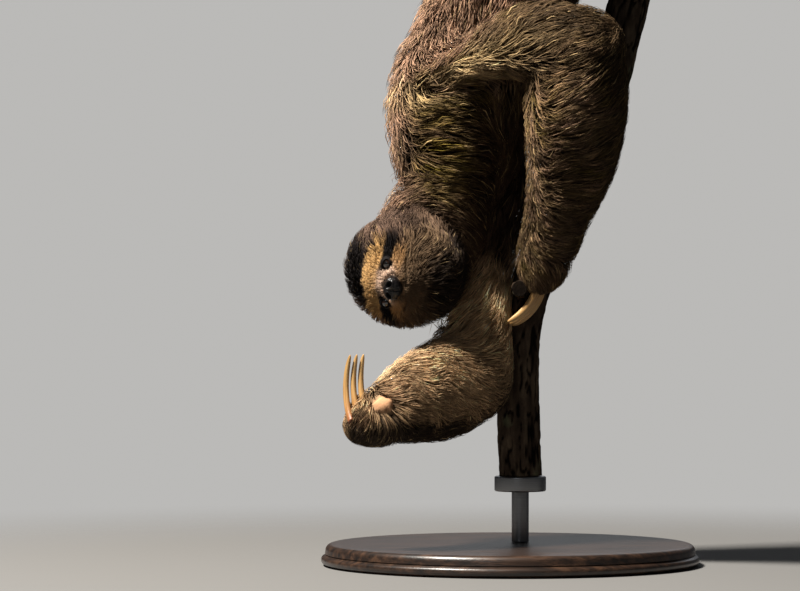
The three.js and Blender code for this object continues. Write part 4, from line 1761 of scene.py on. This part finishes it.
@dataclass
class Eyes:
    """Two small dark eyes that stay where the solids have them."""

    head: Head

    def build(self, name: str, side: float) -> bpy.types.Object:
        """A ball with a slight bulge in front: radius times 0.96 + 0.05 e^-(angle/0.5)^2.

        Args:
            name: The solid's name.
            side: 1 for the left eye and -1 for the right one.

        Returns:
            The eye.
        """
        points, faces = ball(48, 36)
        gaze = unit(np.array([0.28 * side, -0.04, 0.95]))
        angle = np.arccos(np.clip(points @ gaze, -1, 1))
        size = self.head.eye_radius * (0.96 + 0.05 * np.exp(-((angle / 0.5) ** 2)))
        centre = np.array(self.head.eye) * np.array([side, 1, 1])
        piece = mesh_object(f"{name}_ball", self.head.world(points * size[:, None] + centre), faces)
        store(piece.data, "iris", np.repeat((angle / 0.9)[:, None], 3, axis=1))
        EyeFinish().surface().dress(piece)
        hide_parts(name)
        return piece


@dataclass
class Nose:
    """A bare black nose pad with two round nostrils and a cleft under them."""

    head: Head
    nostril: Triple = (4.9, 1.2, 2.1)

    def build(self) -> bpy.types.Object:
        """A stretched ball with two pits, a rim round each, a cleft and fine creases.

        Each of them is a hill or a hollow of e to the minus a power of the distance over its size.

        Returns:
            The nose.
        """
        points, faces = ball(128, 88)
        half = np.array(self.head.nose_half) * np.array([0.99, 0.99, 0.97])
        flat = np.sign(points) * np.abs(points) ** np.array([0.92, 0.92, 0.86])
        shape = flat * half
        left, up, front = shape.T
        side, high, size = self.nostril
        ahead = ease(0, 3, front)
        out = np.abs(left) - side
        wide = np.hypot(out / (size * 1.15), (up - high + 0.25 * out) / size)
        pit = -4.2 * np.exp(-(wide**4)) * ahead
        rim = 0.7 * np.exp(-(((wide - 1.5) / 0.4) ** 2)) * ahead
        cleft = -0.9 * np.exp(-((left / 0.6) ** 2)) * ease(1.5, -1, up) * ahead
        crease = 0.12 * ripple(shape, 2.6, 41)
        raised = (rim + cleft + crease)[:, None]
        shape = shape + unit(points) * raised + np.array([0, 0, 1]) * pit[:, None]
        piece = mesh_object("nose_pad", self.head.world(shape + np.array(self.head.nose)), faces)
        NoseFinish().surface().dress(piece)
        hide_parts("nose")
        return piece


# ---- Claws ------------------------------------------------------------------------------------


@dataclass(frozen=True)
class ClawSize:
    """A claw's length along its curve, its bend in radians and its half sizes at the root."""

    length: float
    bend: float
    width: float
    depth: float
    pitch: float


HAND_CLAW = ClawSize(65, 1.35, 2.75, 3.85, 8.0)
FOOT_CLAW = ClawSize(50, 2.05, 2.75, 3.7, 6.8)


@dataclass(frozen=True)
class ClawRow:
    """Three claws side by side, which leave their roots along one way and curl round one axis."""

    limb: str
    size: ClawSize
    start: Triple
    direction: Triple
    curl: Triple
    row: Triple
    fan: float = 0.0

    def claw(self, number: int, finish: Surface) -> bpy.types.Object:
        """One claw: a section carried along an arc.

        The section is narrower towards the claw's back, where it has a ridge. Its size falls as
        the root of 1 - 0.72 s^3 along the claw, and rounds off over the last part.

        Args:
            number: 1 to 3 along the row.
            finish: The horn.

        Returns:
            The claw.
        """
        steps, sides = 56, 28
        side = unit(np.array(self.row, float))
        k = number - 2
        heading = unit(np.array(self.direction, float)) - side * k * self.fan
        lateral = square_to(np.array(self.curl, float), unit(heading))
        heading = unit(heading)
        inward = np.cross(lateral, heading)
        s = 1 - (1 - np.linspace(0, 1, steps)) ** 1.25
        angle = self.size.bend * np.maximum(s - 0.083, -0.1)
        forward = heading * np.cos(angle)[:, None] + inward * np.sin(angle)[:, None]
        gaps = np.diff(s)[:, None] * self.size.length
        moves = np.cumsum(0.5 * (forward[1:] + forward[:-1]) * gaps, axis=0)
        run = np.concatenate([np.zeros((1, 3)), moves])
        centre = np.array(self.start, float) + side * k * self.size.pitch + run
        inner = np.cross(lateral, forward)
        taper = np.sqrt((1 - 0.72 * s**3) * np.maximum(1 - s**18, 0)) * 0.98 + 0.01
        turn = np.linspace(0, 2 * math.pi, sides, endpoint=False)
        deep = np.cos(turn)
        narrow = 1 - 0.3 * np.maximum(-deep, 0) ** 1.5 + 0.04 * np.cos(2 * turn)
        groove = 1 - 0.05 * np.exp(-(((np.abs(turn - math.pi) - 0.95) / 0.2) ** 2))
        x = (self.size.width * taper)[:, None] * (np.sin(turn) * narrow * groove)[None]
        y = (self.size.depth * taper)[:, None] * (deep * groove)[None]
        rings = centre[:, None] + lateral * x[..., None] + inner[:, None] * y[..., None]
        points, faces = closed_tube(rings)
        name = f"{self.limb}_claw_{number}"
        piece = mesh_object(f"{name}_horn", points, faces)
        around = np.tile(np.sin(turn), (steps, 1)).ravel()
        along = np.repeat(s, sides)
        values = np.stack([around, along, np.full(len(along), 0.37 * number)], -1)
        ends = np.array([[0, 0, 0.37 * number], [0, 1, 0.37 * number]])
        store(piece.data, "claw", np.concatenate([values, ends]))
        finish.dress(piece)
        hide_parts(name)
        return piece


CLAW_ROWS = (
    ClawRow("left_hand", HAND_CLAW, (27, -19, 277), (0.08, -0.02, -0.99), (0.12, 0.97, -0.2),
            (0.3, 0.92, -0.2)),
    ClawRow("right_hand", HAND_CLAW, (-137.5, -127, 137), (-0.28, 0.54, 0.79), (0.89, 0.45, 0),
            (1, 0, 0.05), 0.04),
    ClawRow("left_foot", FOOT_CLAW, (153, -7, 825), (0.86, 0.5, 0), (0, 0, 1), (0, 0, 1)),
    ClawRow("right_foot", FOOT_CLAW, (150, 37, 768), (0.86, -0.5, 0), (0, 0, -1), (0, 0, 1)),
)


# ---- Branch and stand -------------------------------------------------------------------------


@dataclass
class Branch:
    """The cut branch that the sloth climbs, with the stub of a side twig."""

    stations: tuple[tuple[float, ...], ...] = (
        (10, 18, 82, 20), (8, 18, 180, 19), (16, 20, 245, 19), (48, 22, 338, 19), (86, 22, 430, 19),
        (118, 20, 560, 19), (134, 16, 700, 19), (141, 14, 830, 19), (142, 14, 900, 18),
    )
    twig: tuple[tuple[float, ...], ...] = ((16, 18, 251, 11), (10, -7, 255, 8), (8, -31, 256, 7))

    def shell(
        self, stations: tuple[tuple[float, ...], ...], rings: int, sides: int, seed: int, fresh: float
    ) -> tuple[Array, Array, Array]:
        """A barked rod with flat sawn ends.

        The radius is lowered in long furrows, where a slow noise of angle and height crosses zero,
        and raised by slower swellings. Each end has rings of raw wood drawn in to its middle.

        Args:
            stations: Centre and radius along it.
            rings: Rings along the bark.
            sides: Corners of a ring.
            seed: Which noise.
            fresh: How pale the sawn ends are, from 0 to 1.

        Returns:
            Vertices, faces, and for each vertex how raw it is, its ring number and furrow height.
        """
        knots = np.array(stations, float)
        inset = np.array([0.25, 0.5, 0.75, 0.95])
        at = np.concatenate([np.zeros(4), np.linspace(0, 1, rings), np.ones(4)])
        share = np.concatenate([inset, np.ones(rings), inset[::-1]])
        rows = catmull_rom(knots, at)
        tangent = unit(catmull_rom(knots, at + 1e-3)[:, :3] - catmull_rom(knots, at - 1e-3)[:, :3])
        along = square_to(np.tile([1.0, 0.0, 0.1], (len(at), 1)), tangent)
        across = np.cross(tangent, along)
        angle = np.linspace(0, 2 * math.pi, sides, endpoint=False)
        turned = across[:, None] * np.sin(angle)[None, :, None]
        way = along[:, None] * np.cos(angle)[None, :, None] + turned
        run = np.concatenate([[0], np.cumsum(np.linalg.norm(np.diff(rows[:, :3], axis=0), axis=1))])
        flat = np.stack(
            [
                np.broadcast_to(rows[:, 3:4] * np.cos(angle)[None], (len(at), sides)),
                np.broadcast_to(rows[:, 3:4] * np.sin(angle)[None], (len(at), sides)),
                np.broadcast_to(run[:, None] * 0.22, (len(at), sides)),
            ],
            -1,
        ).reshape(-1, 3)
        furrow = np.abs(ripple(flat, 11, seed) + 0.5 * ripple(flat, 5, seed + 1))
        furrow = furrow.reshape(len(at), sides)
        furrow = np.minimum(furrow, 0.6) / 0.6
        swell = ripple(flat * np.array([1, 1, 2.5]), 40, seed + 2).reshape(len(at), sides)
        grain = ripple(flat * np.array([1, 1, 0.8]), 2.6, seed + 3).reshape(len(at), sides)
        raised = (furrow - 0.75) * 1.5 + 0.5 * swell + 0.22 * grain
        bark = (share == 1.0)[:, None]
        radius = rows[:, 3:4] * share[:, None] + np.where(bark, raised, 0.0)
        radius = np.where(bark, radius, np.minimum(radius, rows[:, 3:4] * share[:, None]))
        points, faces = closed_tube(rows[:, None, :3] + way * radius[..., None])
        raw = np.repeat(np.where(share < 1, fresh, 0.0), sides)
        number = (radius * 2.6 + 0.6 * ripple(flat, 30, seed + 4).reshape(len(at), sides)).ravel()
        # painted shade: at fresh 0 the whole twig is darker and its ends darkest, to sit in the hand's
        # shade
        height = np.where(bark, furrow * np.where(fresh > 0, 1.0, 0.6), fresh)
        marks = np.stack([raw, number, height.ravel()], -1)
        return points, faces, np.concatenate([marks, [[fresh, 0, fresh], [fresh, 0, fresh]]])

    def build(self) -> bpy.types.Object:
        """The branch and its twig as one piece.

        Returns:
            The branch.
        """
        main, main_faces, main_marks = self.shell(
            self.stations, rings=460, sides=72, seed=51, fresh=1.0
        )
        stub, stub_faces, stub_marks = self.shell(
            self.twig, rings=40, sides=36, seed=61, fresh=0.0
        )
        points = np.concatenate([main, stub])
        faces = np.concatenate([main_faces, stub_faces + len(main)])
        piece = mesh_object("branch_with_bark", points, faces)
        store(piece.data, "bark", np.concatenate([main_marks, stub_marks]))
        BarkFinish().surface().dress(piece)
        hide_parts("perch_branch")
        return piece


@dataclass
class Stand:
    """A turned round base, a short steel post and the collar that carries the branch."""

    middle: tuple[float, float] = (10.0, 18.0)
    base_radius: float = 175.0
    base_height: float = 20.0
    rod_radius: float = 8.0
    rod: tuple[float, float] = (20.4, 67.2)
    collar_radius: float = 24.0
    collar: tuple[float, float] = (67.6, 81.6)

    def turned(
        self, name: str, profile: Array, centre: tuple[float, float], sides: int
    ) -> bpy.types.Object:
        """A profile of radius and height turned round an upright axis.

        Args:
            name: The piece's name.
            profile: Radius and height, from the bottom's middle to the top's.
            centre: Where the axis stands.
            sides: Corners of a ring.

        Returns:
            The piece.
        """
        angle = np.linspace(0, 2 * math.pi, sides, endpoint=False)
        ring = np.stack([np.cos(angle), np.sin(angle)], -1)
        flat = profile[:, None, :1] * ring[None] + np.array(centre)
        high = np.broadcast_to(profile[:, None, 1:], (len(profile), sides, 1))
        points, faces = closed_tube(np.concatenate([flat, high], axis=-1))
        piece = mesh_object(name, points, faces)
        piece.data.set_sharp_from_angle(angle=math.radians(35))
        return piece

    @staticmethod
    def rounded(radius: float, low: float, high: float, edge: float, start: float) -> Array:
        """A cylinder's profile whose two edges are quarter circles.

        Args:
            radius: The cylinder's.
            low: The height of its bottom.
            high: The height of its top.
            edge: The radius of the quarter circles.
            start: The radius of the hole that the fan closes.

        Returns:
            Radius and height, n by 2.
        """
        turn = np.linspace(0, math.pi / 2, 9)
        lower = np.stack([radius - edge + edge * np.sin(turn), low + edge - edge * np.cos(turn)], -1)
        upper = np.stack([radius - edge + edge * np.cos(turn), high - edge + edge * np.sin(turn)], -1)
        inner = np.linspace(start, radius - edge, 6)[:-1]
        return np.concatenate(
            [
                np.stack([inner, np.full(5, low)], -1), lower, upper,
                np.stack([inner[::-1], np.full(5, high)], -1),
            ]
        )

    def base_profile(self) -> Array:
        """The base's edge: a small foot, a bead, a cove and a round top edge.

        Returns:
            Radius and height, n by 2.
        """
        r, h = self.base_radius, self.base_height
        turn = np.linspace(0, math.pi / 2, 9)
        bead = np.stack([r - 2.5 + 2.5 * np.sin(2 * turn), 5.5 - 3.6 * np.cos(2 * turn)], -1)
        cove = np.stack([r - 3.5 - 1.6 * np.sin(2 * turn), 10.1 + 2.0 * turn / math.pi], -1)
        top = np.stack([r - 4.0 - 6.0 + 6.0 * np.cos(turn), h - 6.0 + 6.0 * np.sin(turn)], -1)
        foot = np.array([[1.0, 0.0], [r * 0.5, 0.0], [r - 6.0, 0.0], [r - 4.0, 0.6]])
        close = np.array([[r * 0.7, h], [r * 0.4, h], [r * 0.1, h], [1.0, h]])
        return np.concatenate([foot, bead, cove, top, close])

    def build(self) -> list[bpy.types.Object]:
        """The three pieces of the stand.

        Returns:
            The base, the rod and the collar.
        """
        base = self.turned("stand_base_turned", self.base_profile(), (0.0, 0.0), 192)
        rod = self.rounded(self.rod_radius, *self.rod, edge=0.6, start=0.5)
        post = self.turned("stand_rod_turned", rod, self.middle, 64)
        collar = self.rounded(self.collar_radius, *self.collar, edge=1.4, start=0.5)
        ring = self.turned("stand_collar_turned", collar, self.middle, 96)
        StainedWoodFinish().surface().dress(base)
        steel = SteelFinish().surface()
        steel.dress(post)
        steel.dress(ring)
        for piece, node, slot in (
            (base, "stand_base", "stand_wood"), (post, "stand_rod", "stand_steel"),
            (ring, "stand_collar", "stand_steel"),
        ):
            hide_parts(node)
        return [base, post, ring]


# ---- Studio -----------------------------------------------------------------------------------


@dataclass(frozen=True)
class Lamp:
    """A soft light of a size, at a place, turned to a point."""

    name: str
    place: Triple
    target: Triple
    size: float
    power: float
    colour: Triple

    def build(self) -> None:
        """Adds the light to the scene."""
        data = bpy.data.lights.new(self.name, "AREA")
        data.size = self.size
        data.energy = self.power
        data.color = self.colour
        lamp = bpy.data.objects.new(self.name, data)
        bpy.context.scene.collection.objects.link(lamp)
        lamp.location = self.place
        aim = Vector(self.target) - Vector(self.place)
        lamp.rotation_euler = aim.to_track_quat("-Z", "Y").to_euler()


LAMPS = (
    Lamp("key", (-1.5, -0.9, 2.85), (-0.05, -0.05, 0.35), 0.45, 330.0, (1.0, 0.95, 0.87)),
    Lamp("fill", (-0.9, -2.8, 1.3), (0.0, 0.0, 0.4), 0.5, 3.0, (0.95, 0.97, 1.0)),
    Lamp("back", (0.4, 2.8, 1.6), (0.0, 0.0, 0.45), 2.0, 7.0, (0.95, 0.97, 1.0)),
)


@dataclass
class Studio:
    """A pale floor, a pale sky, soft lights and the camera."""

    floor_radius: float = 1150.0
    floor_sides: int = 96
    camera_place: Triple = (-0.1019, -3.5, 0.2496)
    lens: float = 170.1
    sky: Triple = (0.80, 0.79, 0.77)
    sky_seen: float = 0.62
    sky_light: float = 0.05
    sky_light_tint: Triple = (0.9, 0.95, 1.0)
    floor_tint: Triple = (0.15, 0.147, 0.143)

    def floor(self) -> None:
        """A plain pale floor under the stand."""
        sides = self.floor_sides
        angle = np.linspace(0, 2 * math.pi, sides, endpoint=False)
        rim = np.stack([np.cos(angle), np.sin(angle), np.zeros(sides)], -1) * self.floor_radius
        j = np.arange(sides)
        fan = np.stack([j, (j + 1) % sides, np.full(sides, sides)], -1)
        piece = mesh_object("floor", np.concatenate([rim, [[0, 0, 0]]]), fan, smooth=False)
        made = Surface("pale_floor")
        made.set(Base_Color=(*self.floor_tint, 1.0), Roughness=0.9)
        reach = made.node("ShaderNodeVectorMath", operation="LENGTH")
        made.join(made.place(), reach.inputs[0])
        fade = made.node("ShaderNodeMapRange", From_Min=0.35, From_Max=1.1, To_Min=1.0, To_Max=0.0)
        fade.interpolation_type = "SMOOTHSTEP"
        made.join(reach.outputs["Value"], fade.inputs["Value"])
        made.join(fade.outputs["Result"], made.shader.inputs["Alpha"])
        made.dress(piece)

    def world(self) -> None:
        """A sky that looks pale and lights the object only a little."""
        world = bpy.data.worlds.new("studio")
        world.use_nodes = True
        nodes, links = world.node_tree.nodes, world.node_tree.links
        output = nodes["World Output"]
        seen = nodes["Background"]
        seen.inputs["Color"].default_value = (*self.sky, 1.0)
        seen.inputs["Strength"].default_value = self.sky_seen
        light = nodes.new("ShaderNodeBackground")
        light.inputs["Color"].default_value = (*self.sky_light_tint, 1.0)
        light.inputs["Strength"].default_value = self.sky_light
        path = nodes.new("ShaderNodeLightPath")
        join = nodes.new("ShaderNodeMixShader")
        links.new(path.outputs["Is Camera Ray"], join.inputs["Fac"])
        links.new(light.outputs[0], join.inputs[1])
        links.new(seen.outputs[0], join.inputs[2])
        links.new(join.outputs[0], output.inputs["Surface"])
        bpy.context.scene.world = world

    def camera(self) -> None:
        """A level camera that looks along +Y."""
        data = bpy.data.cameras.new("camera")
        data.sensor_width = 36.0
        data.lens = self.lens
        data.clip_start, data.clip_end = 0.1, 200.0
        camera = bpy.data.objects.new("camera", data)
        camera.location = self.camera_place
        camera.rotation_euler = (math.pi / 2, 0, 0)
        bpy.context.scene.collection.objects.link(camera)
        bpy.context.scene.camera = camera

    def build(self) -> None:
        """Sets up all of it."""
        self.floor()
        self.world()
        self.camera()
        for lamp in LAMPS:
            lamp.build()
        bpy.context.scene.view_settings.view_transform = "Standard"


# ---- The whole --------------------------------------------------------------------------------

FLESH = (
    "head", "left_ear", "right_ear", "neck", "trunk", "tail",
    "left_upper_arm", "left_forearm", "left_hand", "right_upper_arm", "right_forearm", "right_hand",
    "left_thigh", "left_shin", "left_foot", "right_thigh", "right_shin", "right_foot",
)


def main() -> None:
    """Builds every piece in order."""
    logging.basicConfig(level=logging.INFO, format="%(name)s: %(message)s")
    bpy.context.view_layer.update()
    Studio().build()
    body = Body()
    markings = Markings()
    skin = Skin(body, markings).build()
    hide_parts(*FLESH)
    pieces = [skin, *Coat(body, markings, skin).build()]
    eyes = Eyes(body.head)
    pieces += [eyes.build("left_eye", 1.0), eyes.build("right_eye", -1.0), Nose(body.head).build()]
    horn = ClawFinish().surface()
    pieces += [row.claw(number, horn) for row in CLAW_ROWS for number in (1, 2, 3)]
    pieces += [Branch().build(), *Stand().build()]
    for piece in pieces:
        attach(piece, "root")
        log.info("%s: %d faces", piece.name, len(piece.data.polygons))
    log.info("%d pieces, %d faces", len(pieces), sum(len(p.data.polygons) for p in pieces))
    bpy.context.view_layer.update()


if __name__ == "__main__":
    main()
